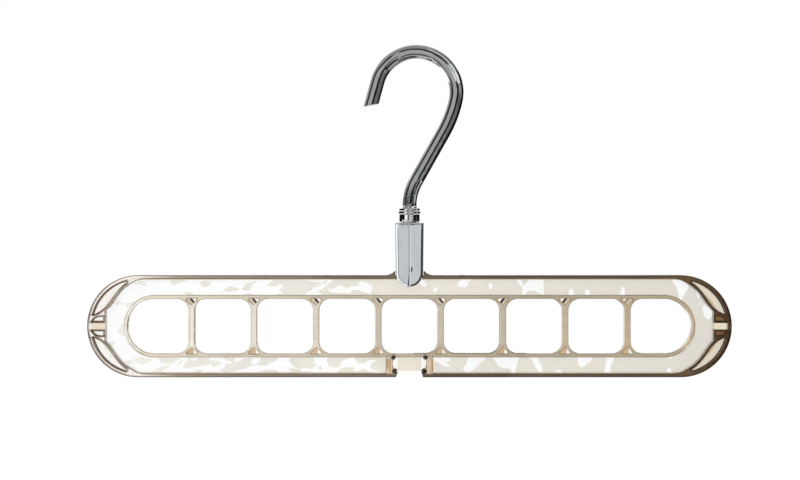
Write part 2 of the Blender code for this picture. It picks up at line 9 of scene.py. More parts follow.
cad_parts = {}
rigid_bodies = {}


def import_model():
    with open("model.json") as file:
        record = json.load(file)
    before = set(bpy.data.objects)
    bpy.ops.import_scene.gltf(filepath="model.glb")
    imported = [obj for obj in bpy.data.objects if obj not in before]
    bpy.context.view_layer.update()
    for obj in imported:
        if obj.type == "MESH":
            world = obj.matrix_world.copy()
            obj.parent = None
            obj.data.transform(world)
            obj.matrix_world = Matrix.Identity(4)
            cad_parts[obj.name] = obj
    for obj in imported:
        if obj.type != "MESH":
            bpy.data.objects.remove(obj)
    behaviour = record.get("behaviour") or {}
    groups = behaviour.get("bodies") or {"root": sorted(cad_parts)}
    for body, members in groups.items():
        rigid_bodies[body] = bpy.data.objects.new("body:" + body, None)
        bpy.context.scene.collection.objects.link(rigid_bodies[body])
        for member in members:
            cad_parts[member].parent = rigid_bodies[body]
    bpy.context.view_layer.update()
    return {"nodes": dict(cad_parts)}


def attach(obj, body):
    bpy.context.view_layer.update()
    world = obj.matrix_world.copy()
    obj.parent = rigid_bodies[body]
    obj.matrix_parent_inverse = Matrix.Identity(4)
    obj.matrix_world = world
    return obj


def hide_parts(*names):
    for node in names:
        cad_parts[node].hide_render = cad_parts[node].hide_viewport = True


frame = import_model()
scene = bpy.context.scene

# Sizes are in millimetres, heights are from the centre line of the holes, and restHeight lowers it all
# so that the origin lies under the hook's crown. The front of the hanger faces -Y.
restHeight = 149.1174
mm = 0.001


def vertsIn(items):
    return [item for item in items if isinstance(item, bmesh.types.BMVert)]


def edgesIn(items):
    return [item for item in items if isinstance(item, bmesh.types.BMEdge)]


def drawLoop(bm, start, moves):
    # A closed line. A move is a point (x, z) to go to, or (x, z, degrees, steps) to swing round a centre
    first = bmesh.ops.create_vert(bm, co=(start[0], 0, start[1]))["vert"][0]
    pen = first
    for move in moves:
        if len(move) == 2:
            pen = bmesh.ops.extrude_vert_indiv(bm, verts=[pen])["verts"][0]
            pen.co = (move[0], 0, move[1])
        else:
            x, z, degrees, steps = move
            swung = bmesh.ops.spin(
                bm, geom=[pen], cent=(x, 0, z), axis=(0, -1, 0), angle=math.radians(degrees), steps=steps
            )
            pen = vertsIn(swung["geom_last"])[0]
    if (pen.co - first.co).length > 0.001:
        bm.edges.new((pen, first))
    else:
        bmesh.ops.weld_verts(bm, targetmap={pen: first})


def mirroredMoves(start, moves):
    # The same line drawn from its end back to its start, on the other side of X = 0
    ends = [start]
    for move in moves:
        if len(move) == 2:
            ends.append(move)
        else:
            x, z, degrees = move[:3]
            cos, sin = math.cos(math.radians(degrees)), math.sin(math.radians(degrees))
            dx, dz = ends[-1][0] - x, ends[-1][1] - z
            ends.append((x + dx * cos - dz * sin, z + dx * sin + dz * cos))
    back = []
    for i in reversed(range(len(moves))):
        move = moves[i]
        if len(move) == 2:
            back.append((-ends[i][0], ends[i][1]))
        else:
            back.append((-move[0], move[1], move[2], move[3]))
    return (-ends[-1][0], ends[-1][1]), back


def roundEdges(bm, edges, radius, segments, clamp):
    bmesh.ops.bevel(
        bm, geom=edges, offset=radius, offset_type="OFFSET", segments=segments,
        profile=0.5, affect="EDGES", clamp_overlap=clamp, material=-1,
    )


def spinRound(bm, steps):
    # A full turn of the drawn profile about the swivel's axis
    bmesh.ops.spin(
        bm, geom=bm.verts[:] + bm.edges[:], cent=(0, 0, 0), axis=(0, 0, 1),
        angle=math.radians(360), steps=steps, use_merge=True,
    )
    bmesh.ops.remove_doubles(bm, verts=bm.verts[:], dist=0.0005)


def placeKey(co):
    # One number for a place: by X first, then by height, then by depth
    return co.x * 1e6 + co.z * 1e3 + co.y


def sortMesh(bm):
    # One fixed order, so that the operators that follow do the same in each run
    bm.verts.sort(key=lambda v: placeKey(v.co))
    bm.edges.sort(key=lambda e: placeKey(e.verts[0].co + e.verts[1].co))
    bm.faces.sort(key=lambda f: placeKey(f.calc_center_median()))


def layerMesh(loops, depth, edgeRadius, segments):
    # Fills the loops, gives the fill its depth and rounds its edges
    bm = bmesh.new()
    for start, moves in loops:
        drawLoop(bm, start, moves)
    bmesh.ops.triangle_fill(bm, use_beauty=True, edges=bm.edges[:])
    sortMesh(bm)
    inner = [e for e in bm.edges if not e.is_boundary]
    bmesh.ops.beautify_fill(bm, faces=bm.faces[:], edges=inner, method="ANGLE")
    sortMesh(bm)
    bmesh.ops.translate(bm, vec=(0, -depth / 2, 0), verts=bm.verts[:])
    front = bm.faces[:]
    back = bmesh.ops.extrude_face_region(bm, geom=front, use_keep_orig=True)["geom"]
    bmesh.ops.translate(bm, vec=(0, depth, 0), verts=vertsIn(back))
    sortMesh(bm)
    bmesh.ops.recalc_face_normals(bm, faces=bm.faces[:])
    bmesh.ops.dissolve_limit(bm, angle_limit=0.002, verts=bm.verts[:], edges=bm.edges[:])
    sortMesh(bm)
    if edgeRadius:
        flat = [e for e in bm.edges if abs(e.verts[0].co.y - e.verts[1].co.y) < 0.001]
        roundEdges(bm, [e for e in flat if e.calc_face_angle() > 1.4], edgeRadius, segments, False)
    return bm


def flatLayer(name, loops, depth, edgeRadius, segments):
    return meshObject(name, layerMesh(loops, depth, edgeRadius, segments))


def meshObject(name, bm):
    mesh = bpy.data.meshes.new(name)
    bm.to_mesh(mesh)
    bm.free()
    made = bpy.data.objects.new(name, mesh)
    scene.collection.objects.link(made)
    return made


def combine(piece, others, operation):
    # Applies Booleans one after the other and removes the helpers
    for other in others:
        boolean = piece.modifiers.new(other.name, "BOOLEAN")
        boolean.operation = operation
        boolean.solver = "EXACT"
        boolean.object = other
    bpy.context.view_layer.update()
    graph = bpy.context.evaluated_depsgraph_get()
    mesh = bpy.data.meshes.new_from_object(piece.evaluated_get(graph))
    piece.modifiers.clear()
    piece.data = mesh
    for other in others:
        bpy.data.objects.remove(other)


def settle(piece, smoothAngle):
    # From millimetres above the centre line to metres below the crown
    piece.data.transform(Matrix.Scale(mm, 4) @ Matrix.Translation((0, 0, -restHeight)))
    piece.data.shade_smooth()
    piece.data.set_sharp_from_angle(angle=math.radians(smoothAngle))
    weighted = piece.modifiers.new("Even normals", "WEIGHTED_NORMAL")
    weighted.keep_sharp = True


print("drawing tools ready")


hangerBody = {
    "holeCount": 9,
    "holePitch": 34.8,
    "holeHeight": 30.5,
    "holeCorner": 6.5,
    "divider": 3.6,
    "endHole": 34.0,
    "ringWidth": 2.2,
    "ringDepth": 7.0,
    "webHeight": 9.0,
    "webDepth": 2.0,
    "webOverlap": 0.7,                   # how far it stays back from the holes, inside the ring
    "rimWidth": 2.05,
    "rimDepth": 9.0,
    "endMargin": 20.2,
    "ringEdge": 0.55,
    "rimEdge": 0.55,
    "pocket": (7.3, 3.6, 0.2, 0.5),      # width, height, rise into the band, corner radius
    "endRim": 2.3,
    "rib": 1.6,
    "ribLead": 5.3,
    "crescent": (14.0, 74.0, 0.4, 0.75),  # angles of its two tips, and their radii
    "crescentSlopes": (-22.0, -33.0, 10.0),      # of its inner side at both tips, length of its handles
    "endBlock": 10.2,
    "uprightRib": 1.2,
    "endCell": (5.6, 1.7, 4.2),          # radius, wall at the tip, height of the bar
    "notchBlock": 26.5,
    "notch": (15.2, 13.0, 16.0, 2.1, 2.8, 3.4),  # mouth, nose, top, bulge, rise of the nose, rise of the tab
    "notchLip": 1.1,
    "flare": (5.7, 2.7),                 # run and rise of the curve up to the post
    "shoulder": 7.92,
    "post": (5.9, 50.5, 1.6),            # half width, top, rib
}


def bodyPlaces(size):
    holeHalf = size["holeHeight"] / 2
    lastDivider = (size["holeCount"] / 2 - 1) * size["holePitch"]
    holeTip = lastDivider + size["divider"] / 2 + size["endHole"]
    ringHalf = holeHalf + size["ringWidth"]
    rimInner = ringHalf + size["webHeight"]
    rimHalf = rimInner + size["rimWidth"]
    half = holeTip + size["ringWidth"] + size["endMargin"]
    return {
        "holeHalf": holeHalf,
        "lastDivider": lastDivider,
        "ringEnd": holeTip - holeHalf,
        "ringHalf": ringHalf,
        "rimInner": rimInner,
        "rimHalf": rimHalf,
        "half": half,
        "rimEnd": half - rimHalf,
    }


def polarPoint(centre, radius, degrees):
    turn = math.radians(degrees)
    return (centre[0] + radius * math.cos(turn), centre[1] + radius * math.sin(turn))


def curvePoints(p0, p1, p2, p3, steps):
    points = []
    for i in range(steps + 1):
        t = i / steps
        a, b, c, d = (1 - t) ** 3, 3 * t * (1 - t) ** 2, 3 * t ** 2 * (1 - t), t ** 3
        points.append(tuple(a * e + b * f + c * g + d * h for e, f, g, h in zip(p0, p1, p2, p3)))
    return points


def upsideDown(start, moves):
    # The same line drawn the other way round, below the centre line
    points, back = mirroredMoves(start, moves)
    flipped = [(-m[0], -m[1]) if len(m) == 2 else (-m[0], -m[1], m[2], m[3]) for m in back]
    return (-points[0], -points[1]), flipped


def holeLoop(x, halfWidth, halfHeight, corner):
    w, h = halfWidth - corner, halfHeight - corner
    return (x + halfWidth, -h), [
        (x + halfWidth, h), (x + w, h, 90, 10),
        (x - w, halfHeight), (x - w, h, 90, 10),
        (x - halfWidth, -h), (x - w, -h, 90, 10),
        (x + w, -halfHeight), (x + w, -h, 90, 10),
    ]


def endHoleLoop(size, at, grow, side):
    corner = size["holeCorner"] + grow
    half = at["holeHalf"] + grow
    inner = at["lastDivider"] + size["divider"] / 2 - grow
    start = (at["ringEnd"], -half)
    moves = [
        (at["ringEnd"], 0, 180, 40),
        (inner + corner, half), (inner + corner, half - corner, 90, 10),
        (inner, corner - half), (inner + corner, corner - half, 90, 10),
    ]
    return (start, moves) if side > 0 else mirroredMoves(start, moves)


def holeLoops(size, at, grow):
    loops = [endHoleLoop(size, at, grow, side) for side in (-1, 1)]
    halfWidth = (size["holePitch"] - size["divider"]) / 2 + grow
    for i in range(1, size["holeCount"] - 1):
        x = (i - (size["holeCount"] - 1) / 2) * size["holePitch"]
        loops.append(holeLoop(x, halfWidth, at["holeHalf"] + grow, size["holeCorner"] + grow))
    return loops


def pocketLoops(size, at):
    # Three-cornered pockets where the dividers meet the band
    width, height, rise, r = size["pocket"]
    top = at["holeHalf"] + rise
    low = top - height
    slope = math.degrees(math.atan2(height, width / 2))
    loops = []
    for i in range(size["holeCount"] - 1):
        x = i * size["holePitch"] - at["lastDivider"]
        inset = r / math.tan(math.radians(slope / 2))
        cornerX = width / 2 - inset
        tipZ = low + r / math.cos(math.radians(slope))
        start = (x + cornerX, top)
        moves = [
            (x - cornerX, top), (x - cornerX, top - r, 180 - slope, 5),
            polarPoint((x, tipZ), r, 270 - slope), (x, tipZ, 2 * slope, 5),
            polarPoint((x + cornerX, top - r), r, slope - 90), (x + cornerX, top - r, 180 - slope, 5),
        ]
        loops.append((start, moves))
        loops.append(upsideDown(start, moves))
    return loops


def crescentSide(size, at):
    # Its inner side, from the high tip to the low one
    low, high, lowTip, highTip = size["crescent"]
    lowSlope, highSlope, handle = size["crescentSlopes"]
    radius = at["rimHalf"] - size["endRim"]
    highPoint = polarPoint((at["rimEnd"], 0), radius - 2 * highTip, high)
    lowPoint = polarPoint((at["rimEnd"], 0), radius - 2 * lowTip, low)
    highHandle = polarPoint(highPoint, handle, highSlope)
    lowHandle = polarPoint(lowPoint, -handle, lowSlope)
    return curvePoints(highPoint, highHandle, lowHandle, lowPoint, 22)


def crescentLoop(size, at):
    low, high, lowTip, highTip = size["crescent"]
    radius = at["rimHalf"] - size["endRim"]
    highCentre = polarPoint((at["rimEnd"], 0), radius - highTip, high)
    lowCentre = polarPoint((at["rimEnd"], 0), radius - lowTip, low)
    start = polarPoint((at["rimEnd"], 0), radius, low)
    return start, [
        (at["rimEnd"], 0, high - low, 24),
        (*highCentre, 180, 6),
        *crescentSide(size, at)[1:],
        (*lowCentre, 180, 4),
    ]


def cellLoop(size, at):
    radius, wall, bar = size["endCell"]
    centre = (at["half"] - wall - radius, 0)
    side = at["half"] - size["endBlock"] + size["uprightRib"]
    lowAngle = math.degrees(math.asin(bar / 2 / radius))
    start = polarPoint(centre, radius, lowAngle)
    return start, [(*centre, 90 - lowAngle, 10), (side, radius), (side, bar / 2)]


def fourCorners(loop):
    below = upsideDown(*loop)
    return [loop, below, mirroredMoves(*loop), mirroredMoves(*below)]


def ribSide(size, at):
    # Where the rib leaves the rim, along the crescent, to the upright rib
    side = crescentSide(size, at)
    beside = []
    for i, (x, z) in enumerate(side):
        a, b = side[max(i - 1, 0)], side[min(i + 1, len(side) - 1)]
        long = math.dist(a, b)
        beside.append((x + (b[1] - a[1]) / long * size["rib"], z - (b[0] - a[0]) / long * size["rib"]))
    upright = at["half"] - size["endBlock"]
    kept = [point for point in beside if point[0] < upright]
    last, beyond = kept[-1], beside[len(kept)]
    share = (upright - last[0]) / (beyond[0] - last[0])
    corner = (upright, last[1] + share * (beyond[1] - last[1]))
    start = (at["rimEnd"] - size["ribLead"], at["rimInner"])
    handle = polarPoint(kept[0], -size["ribLead"], size["crescentSlopes"][1])
    leadIn = curvePoints(start, (at["rimEnd"], at["rimInner"]), handle, kept[0], 14)
    return leadIn + kept[1:] + [corner]


def notchMoves(size, at):
    # Right-hand side, from the inside of the band down to the bottom edge
    mouth, nose, top, bulge, noseRise = size["notch"][:5]
    a = Vector((top / 2, -at["ringHalf"]))
    b = Vector((nose / 2, noseRise - at["rimHalf"]))
    chord = (b - a).length
    radius = (chord ** 2 / 4 + bulge ** 2) / (2 * bulge)
    away = Vector((-(b - a).y, (b - a).x)).normalized()
    centre = (a + b) / 2 - away * (radius - bulge)
    swing = -2 * math.degrees(math.asin(chord / 2 / radius))
    start = (a.x, a.y + size["notchLip"])
    return start, [(a.x, a.y), (centre.x, centre.y, swing, 14), (mouth / 2, -at["rimHalf"])]


def bodyOutline(size, at):
    # Once round the outside, and back round the inside because the notch cuts the rim open
    start, right = notchMoves(size, at)
    run, rise = size["flare"]
    shoulder = size["shoulder"]
    radius = (run ** 2 + rise ** 2) / (2 * rise)
    flareSwing = -math.degrees(math.asin(run / radius))
    postHalf, postTop, rib = size["post"]
    right += [
        (at["rimEnd"], -at["rimHalf"]),
        (at["rimEnd"], 0, 180, 64),
        (shoulder + run, at["rimHalf"]),
        (shoulder + run, at["rimHalf"] + radius, flareSwing, 12),
        (shoulder, at["rimHalf"]),
        (postHalf, at["rimHalf"]),
        (postHalf, postTop - rib),
        (postHalf - rib, postTop - rib, 90, 6),
    ]
    leftStart, left = mirroredMoves(start, right)
    quarter = ribSide(size, at)
    block = size["notchBlock"] / 2
    inner = quarter + [(x, -z) for x, z in reversed(quarter)]
    inner += [(block, -at["rimInner"]), (block, size["notchLip"] - at["ringHalf"])]
    innerLeft = [(-x, z) for x, z in reversed(inner)]
    return start, right + [leftStart] + left + innerLeft + inner


def webOutline(size, at):
    half = at["rimHalf"] - size["rimWidth"] / 2
    step = (size["notchBlock"] + size["notch"][2]) / 4
    tab = size["notch"][5] - at["rimHalf"]
    postHalf, postTop, rib = size["post"]
    start = (step, tab)
    right = [
        (step, -half), (at["rimEnd"], -half), (at["rimEnd"], 0, 180, 64),
        (postHalf - rib / 2, half), (postHalf - rib / 2, postTop - rib / 2),
    ]
    leftStart, left = mirroredMoves(start, right)
    return start, right + [leftStart] + left


def makeHangerBody(size):
    at = bodyPlaces(size)
    postHalf, postTop, rib = size["post"]
    ceiling, side = postTop - rib, postHalf - rib
    postPocket = (side, ceiling), [(-side, ceiling), (-side, at["rimHalf"]), (side, at["rimHalf"])]
    stadium = (at["ringEnd"], -at["ringHalf"]), [
        (at["ringEnd"], 0, 180, 48), (-at["ringEnd"], at["ringHalf"]), (-at["ringEnd"], 0, 180, 48)
    ]
    rimLoops = [bodyOutline(size, at), postPocket]
    rimLoops += fourCorners(crescentLoop(size, at)) + fourCorners(cellLoop(size, at))
    webLoops = [webOutline(size, at)] + holeLoops(size, at, size["webOverlap"])
    ringLoops = [stadium] + holeLoops(size, at, 0) + pocketLoops(size, at)
    body = flatLayer("hangerBody", rimLoops, size["rimDepth"], size["rimEdge"], 3)
    web = flatLayer("web", webLoops, size["webDepth"], 0, 1)
    ring = flatLayer("ring", ringLoops, size["ringDepth"], size["ringEdge"], 3)
    combine(body, [web, ring], "UNION")
    settle(body, 40)
    return body


hangerMoulding = makeHangerBody(hangerBody)
print("hanger body:", len(hangerMoulding.data.polygons), "faces")

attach(hangerMoulding, "frame")
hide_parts("hanger_frame")


neckSheath = {
    "topWidth": 15.8,
    "footWidth": 15.2,
    "top": 57.9,
    "bottom": 21.9,
    "depthHalf": 6.75,
    "ridge": 0.35,
    "edge": 1.75,
    "seam": (0.36, 0.26),        # half width and depth of the line down the middle
    "sideWall": 1.4,
    "gapHalf": 4.8,
    "railTop": 28.5,
    "railUnder": 26.45,
    "railGap": 0.3,
    "ceiling": 55.5,
    "catch": (1.2, 2.0),         # how far each ledge stands in, and its height
    "spigotHole": 4.0,
}


def boxBetween(name, low, high):
    bm = bmesh.new()
    bmesh.ops.create_cube(bm, size=1)
    bmesh.ops.scale(bm, vec=[b - a for a, b in zip(low, high)], verts=bm.verts[:])
    bmesh.ops.translate(bm, vec=[(a + b) / 2 for a, b in zip(low, high)], verts=bm.verts[:])
    return meshObject(name, bm)


def tongueGap(size):
    # Seen from the side: the gap between the tongues, with a ledge on each under the rail
    wide = size["gapHalf"]
    ledge, height = size["catch"]
    under = size["railUnder"] - size["railGap"]
    narrow = wide - ledge
    right = [
        (wide, under - height), (narrow, under - height + ledge / 2), (narrow, under),
        (wide, under), (wide, size["railTop"] + size["railGap"]),
    ]
    start = (wide, size["bottom"] - 5)
    leftStart, left = mirroredMoves(start, right)
    bm = layerMesh([(start, right + [leftStart] + left)], 3 * size["topWidth"], 0, 1)
    bmesh.ops.rotate(bm, cent=(0, 0, 0), matrix=Matrix.Rotation(math.radians(90), 3, "Z"), verts=bm.verts[:])
    return meshObject("tongueGap", bm)


def makeNeckSheath(size):
    footHalf = size["footWidth"] / 2
    footCentre = size["bottom"] + footHalf
    start = (-footHalf, footCentre)
    topHalf = size["topWidth"] / 2
    moves = [(0, footCentre, 180, 40), (topHalf, size["top"]), (-topHalf, size["top"])]
    bm = layerMesh([(start, moves)], 2 * size["depthHalf"], size["edge"], 6)
    seamHalf, seamDepth = size["seam"]
    for x in (-seamHalf, 0, seamHalf):
        whole = bm.verts[:] + bm.edges[:] + bm.faces[:]
        bmesh.ops.bisect_plane(bm, geom=whole, dist=0.001, plane_co=(x, 0, 0), plane_no=(1, 0, 0))
    for vert in bm.verts:
        vert.co.y *= 1 - size["ridge"] / size["depthHalf"] * abs(vert.co.x) / footHalf
        if abs(vert.co.x) < 0.001:
            vert.co.y *= 1 - seamDepth / size["depthHalf"]
    sheath = meshObject("neckSheath", bm)
    half = footHalf - size["sideWall"]
    low, high = (-half, -size["gapHalf"], size["railTop"] - 1), (half, size["gapHalf"], size["ceiling"])
    cavity = boxBetween("cavity", low, high)
    drill = bmesh.new()
    hole = size["spigotHole"]
    bmesh.ops.create_cone(drill, cap_ends=True, segments=64, radius1=hole, radius2=hole, depth=8)
    bmesh.ops.translate(drill, vec=(0, 0, size["top"]), verts=drill.verts[:])
    combine(sheath, [tongueGap(size), cavity, meshObject("drill", drill)], "DIFFERENCE")
    settle(sheath, 30)
    return sheath


sheathPiece = makeNeckSheath(neckSheath)
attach(sheathPiece, "frame")
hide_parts("neck_sheath")
print("neck sheath:", len(sheathPiece.data.polygons), "faces")


swivelParts = {
    "bore": 2.6,
    "spin": 96,
    "bush": (5.7, 58.2, 62.6, 0.35),      # radius, low, high, edge radius
    "spigot": (3.7, 55.5),
    "thrustWasher": (6.1, 62.9, 64.2, 0.15),
    "shoulderRing": (5.75, 64.5, 66.8, 0.15),
    "shoulderBand": 1.1,
    "shoulderCone": (0.3, 0.35, 0.65, 0.2),      # lip, gap and height of the cone's foot, gap at its top
    "wire": 4.0,
}


def spunPiece(name, start, moves, steps):
    bm = bmesh.new()
    drawLoop(bm, start, moves)
    spinRound(bm, steps)
    bmesh.ops.recalc_face_normals(bm, faces=bm.faces[:])
    piece = meshObject(name, bm)
    settle(piece, 40)
    return piece


def makeBush(size):
    radius, low, high, edge = size["bush"]
    spigot, spigotLow = size["spigot"]
    return spunPiece("swivelBush", (size["bore"], spigotLow), [
        (spigot, spigotLow), (spigot, low), (radius - edge, low), (radius - edge, low + edge, 90, 5),
        (radius, high - edge), (radius - edge, high - edge, 90, 5), (size["bore"], high),
    ], size["spin"])


def makeThrustWasher(size):
    radius, low, high, edge = size["thrustWasher"]
    return spunPiece("thrustWasher", (size["bore"], low), [
        (radius - edge, low), (radius - edge, low + edge, 90, 6),
        (radius, high - edge), (radius - edge, high - edge, 90, 6), (size["bore"], high),
    ], size["spin"])


def makeShoulderRing(size):
    radius, low, high, edge = size["shoulderRing"]
    bandTop = low + size["shoulderBand"]
    lip, footGap, footHeight, topGap = size["shoulderCone"]
    return spunPiece("shoulderRing", (size["bore"], low), [
        (radius - edge, low), (radius - edge, low + edge, 90, 5),
        (radius, bandTop), (radius - lip, bandTop, 90, 5),
        (size["wire"] + footGap, bandTop + footHeight), (size["wire"] + topGap, high), (size["bore"], high),
    ], size["spin"])


turnedPieces = {
    "swivel_bush": (makeBush(swivelParts), "frame"),
    "thrust_washer": (makeThrustWasher(swivelParts), "frame"),
    "shoulder_ring": (makeShoulderRing(swivelParts), "hook"),
}
for node, (piece, rider) in turnedPieces.items():
    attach(piece, rider)
    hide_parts(node)
print("turned pieces:", len(turnedPieces))


hookWire = {
    "radius": 3.975,
    "sides": 48,
    "wireEnd": 67.1,
    "endRound": (0.25, 0.07),            # of the wire's lower end: its size, and its middle point
    "shank": 0.5,
    "bendRadius": 26.9,
    "crookRadius": 63.2,
    "eyeRadius": 22.5,
    "lean": 29.4,
    "slant": 31.9,
    "crookSweep": 17.2,
    "eyeSweep": 176.8,
    "tail": 14.1,
    "tipSlant": 27.5,
    "tipEdge": 0.6,
    "journal": 2.3,
    "rivet": (3.6, 53.7, 51.7),          # radius, high, low
}


def pushRing(bm, ring, way):
    pushed = bmesh.ops.extrude_edge_only(bm, edges=ring)["geom"]
    bmesh.ops.translate(bm, vec=way, verts=vertsIn(pushed))
    return edgesIn(pushed)


def swingRing(bm, ring, centre, degrees, steps):
    x, z = centre
    angle = math.radians(degrees)
    swung = bmesh.ops.spin(bm, geom=ring, cent=(x, 0, z), axis=(0, -1, 0), angle=angle, steps=steps)
    return edgesIn(swung["geom_last"])


def makeHook(size):
    r, lean = size["radius"], size["lean"]
    rivetRadius, rivetHigh, rivetLow = size["rivet"]
    bm = bmesh.new()
    # Rivet, journal and the wire's rounded end, turned about the swivel's axis
    pen = bmesh.ops.create_vert(bm, co=(0, 0, rivetLow))["vert"][0]
    high = rivetHigh - rivetLow
    turns = [i * math.pi / 16 for i in range(1, 9)]
    end = size["wireEnd"]
    roundSize, middle = size["endRound"]
    profile = [(rivetRadius * math.sin(turn), rivetHigh - high * math.cos(turn)) for turn in turns]
    profile += [(size["journal"], rivetHigh), (size["journal"], end)]
    profile += [(r - roundSize, end), (r - middle, end + middle), (r, end + roundSize)]
    for x, z in profile:
        pen = bmesh.ops.extrude_vert_indiv(bm, verts=[pen])["verts"][0]
        pen.co = (x, 0, z)
    spinRound(bm, size["sides"])
    # From there the ring of the open end is pushed and swung along the wire's path
    bend = (size["bendRadius"], end + size["shank"])
    crookRadius, eyeRadius = size["crookRadius"], size["eyeRadius"]
    slantStart = polarPoint(bend, size["bendRadius"], 180 - lean)
    slantEnd = polarPoint(slantStart, size["slant"], 90 - lean)
    crook = polarPoint(slantEnd, crookRadius, 180 - lean)
    eyeStart = size["crookSweep"] - lean
    eyeEnd = eyeStart + size["eyeSweep"]
    eye = polarPoint(crook, crookRadius - eyeRadius, eyeStart)
    way = Vector((math.cos(math.radians(eyeEnd + 90)), 0, math.sin(math.radians(eyeEnd + 90))))
    ring = [e for e in bm.edges if e.is_boundary]
    ring = pushRing(bm, ring, (0, 0, size["shank"] - roundSize))
    ring = swingRing(bm, ring, bend, -lean, 11)
    ring = pushRing(bm, ring, (slantEnd[0] - slantStart[0], 0, slantEnd[1] - slantStart[1]))
    ring = swingRing(bm, ring, crook, size["crookSweep"], 12)
    ring = swingRing(bm, ring, eye, size["eyeSweep"], 66)
    ring = pushRing(bm, ring, way * (size["tail"] + 2 * r))
    tailX, tailZ = polarPoint(eye, eyeRadius, eyeEnd)
    tip = Vector((tailX, 0, tailZ)) + way * size["tail"]
    endVerts = {v for e in ring for v in e.verts}
    tail = {item for v in endVerts for f in v.link_faces for item in [f, *f.edges, *f.verts]}
    slanted = math.radians(eyeEnd + 90 + size["tipSlant"])
    bmesh.ops.bisect_plane(
        bm, geom=list(tail), dist=0.0005, plane_co=tip,
        plane_no=(math.cos(slanted), 0, math.sin(slanted)), clear_outer=True,
    )
    bmesh.ops.holes_fill(bm, edges=[e for e in bm.edges if e.is_boundary])
    bmesh.ops.recalc_face_normals(bm, faces=bm.faces[:])
    cut = max(bm.faces, key=lambda f: len(f.verts))
    roundEdges(bm, cut.edges[:], size["tipEdge"], 3, True)
    hook = meshObject("hookWire", bm)
    settle(hook, 40)
    return hook


hookPiece = makeHook(hookWire)
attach(hookPiece, "hook")
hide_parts("hook")
print("hook:", len(hookPiece.data.polygons), "faces")


def addNode(tree, kind, inputs=None, **settings):
    # Sockets are linked, plain values are set
    made = tree.nodes.new("ShaderNode" + kind)
    for key, value in settings.items():
        setattr(made, key, value)
    for key, value in (inputs or {}).items():
        if isinstance(value, bpy.types.NodeSocket):
            tree.links.new(value, made.inputs[key])
        else:
            made.inputs[key].default_value = value
    return made


def joined(kind, inputs, **settings):
    # A node in the tree that its inputs come from
    sockets = [value for value in inputs.values() if isinstance(value, bpy.types.NodeSocket)]
    return addNode(sockets[0].id_data, kind, inputs, **settings)


def maths(operation, a, b=0.0, c=0.0):
    return joined("Math", {0: a, 1: b, 2: c}, operation=operation).outputs[0]


def times(a, b):
    return maths("MULTIPLY", a, b)


def minus(a, b):
    return maths("SUBTRACT", a, b)


def larger(a, b):
    return maths("MAXIMUM", a, b)


def lengthOf(a, b):
    # The distance that two measures at right angles make
    both = joined("CombineXYZ", {0: a, 1: b})
    return joined("VectorMath", {0: both.outputs[0]}, operation="LENGTH").outputs["Value"]


def step(value, low, high):
    # 0 below low, 1 above high, smooth between; low may be the larger one
    limits = {"Value": value, "From Min": low, "From Max": high}
    return joined("MapRange", limits, interpolation_type="SMOOTHSTEP").outputs[0]


def stepPast(value, start, limits):
    # The same with both limits counted from start
    return step(value, start + limits[0], start + limits[1])


def between(value, low, high, soft):
    # 1 between low and high, 0 outside
    return times(step(value, low - soft, low), step(value, high + soft, high))


def stretched(vector, scale):
    return joined("Mapping", {"Vector": vector, "Scale": scale}).outputs[0]


def splitUp(vector):
    return joined("SeparateXYZ", {0: vector}).outputs


def noise(vector, scale, detail, distortion=0.0):
    values = {"Vector": vector, "Scale": scale, "Detail": detail, "Distortion": distortion}
    return joined("TexNoise", values).outputs[0]


def bump(height, strength, distance, normal=None):
    values = {"Height": height, "Strength": strength, "Distance": distance}
    if normal:
        values["Normal"] = normal
    return joined("Bump", values).outputs[0]


def blendColours(mask, a, b, blendType="MIX"):
    return joined("Mix", {0: mask, 6: a, 7: b}, data_type="RGBA", blend_type=blendType).outputs[2]


def shade(red, green, blue):
    # A colour as seen on screen, 0 to 255, as Blender's linear values
    seen = [v / 255 for v in (red, green, blue)]
    linear = [v / 12.92 if v <= 0.0393 else ((v + 0.055) / 1.055) ** 2.4 for v in seen]
    return (*linear, 1.0)


def ramp(value, stops):
    # Colours along a value from 0 to 1
    made = joined("ValToRGB", {0: value})
    elements = made.color_ramp.elements
    while len(elements) < len(stops):
        elements.new(1.0)
    for element, (place, colour) in zip(elements, stops.items()):
        element.position = place
        element.color = shade(*colour)
    return made.outputs[0]


def emptyTree(holder):
    holder.use_nodes = True
    holder.node_tree.nodes.clear()
    return holder.node_tree


def newMaterial(name):
    made = bpy.data.materials.new(name)
    tree = emptyTree(made)
    shader = addNode(tree, "BsdfPrincipled")
    joined("OutputMaterial", {0: shader.outputs[0]})
    return made, tree, shader


def newGroup(name, inputs, outputs):
    tree = bpy.data.node_groups.new(name, "ShaderNodeTree")
    for label, kind, value in inputs:
        socket = tree.interface.new_socket(label, in_out="INPUT", socket_type=kind)
        if value is not None:
            socket.default_value = value
    for label, kind in outputs:
        tree.interface.new_socket(label, in_out="OUTPUT", socket_type=kind)
    start = tree.nodes.new("NodeGroupInput")
    end = tree.nodes.new("NodeGroupOutput")
    return tree, start.outputs, end.inputs


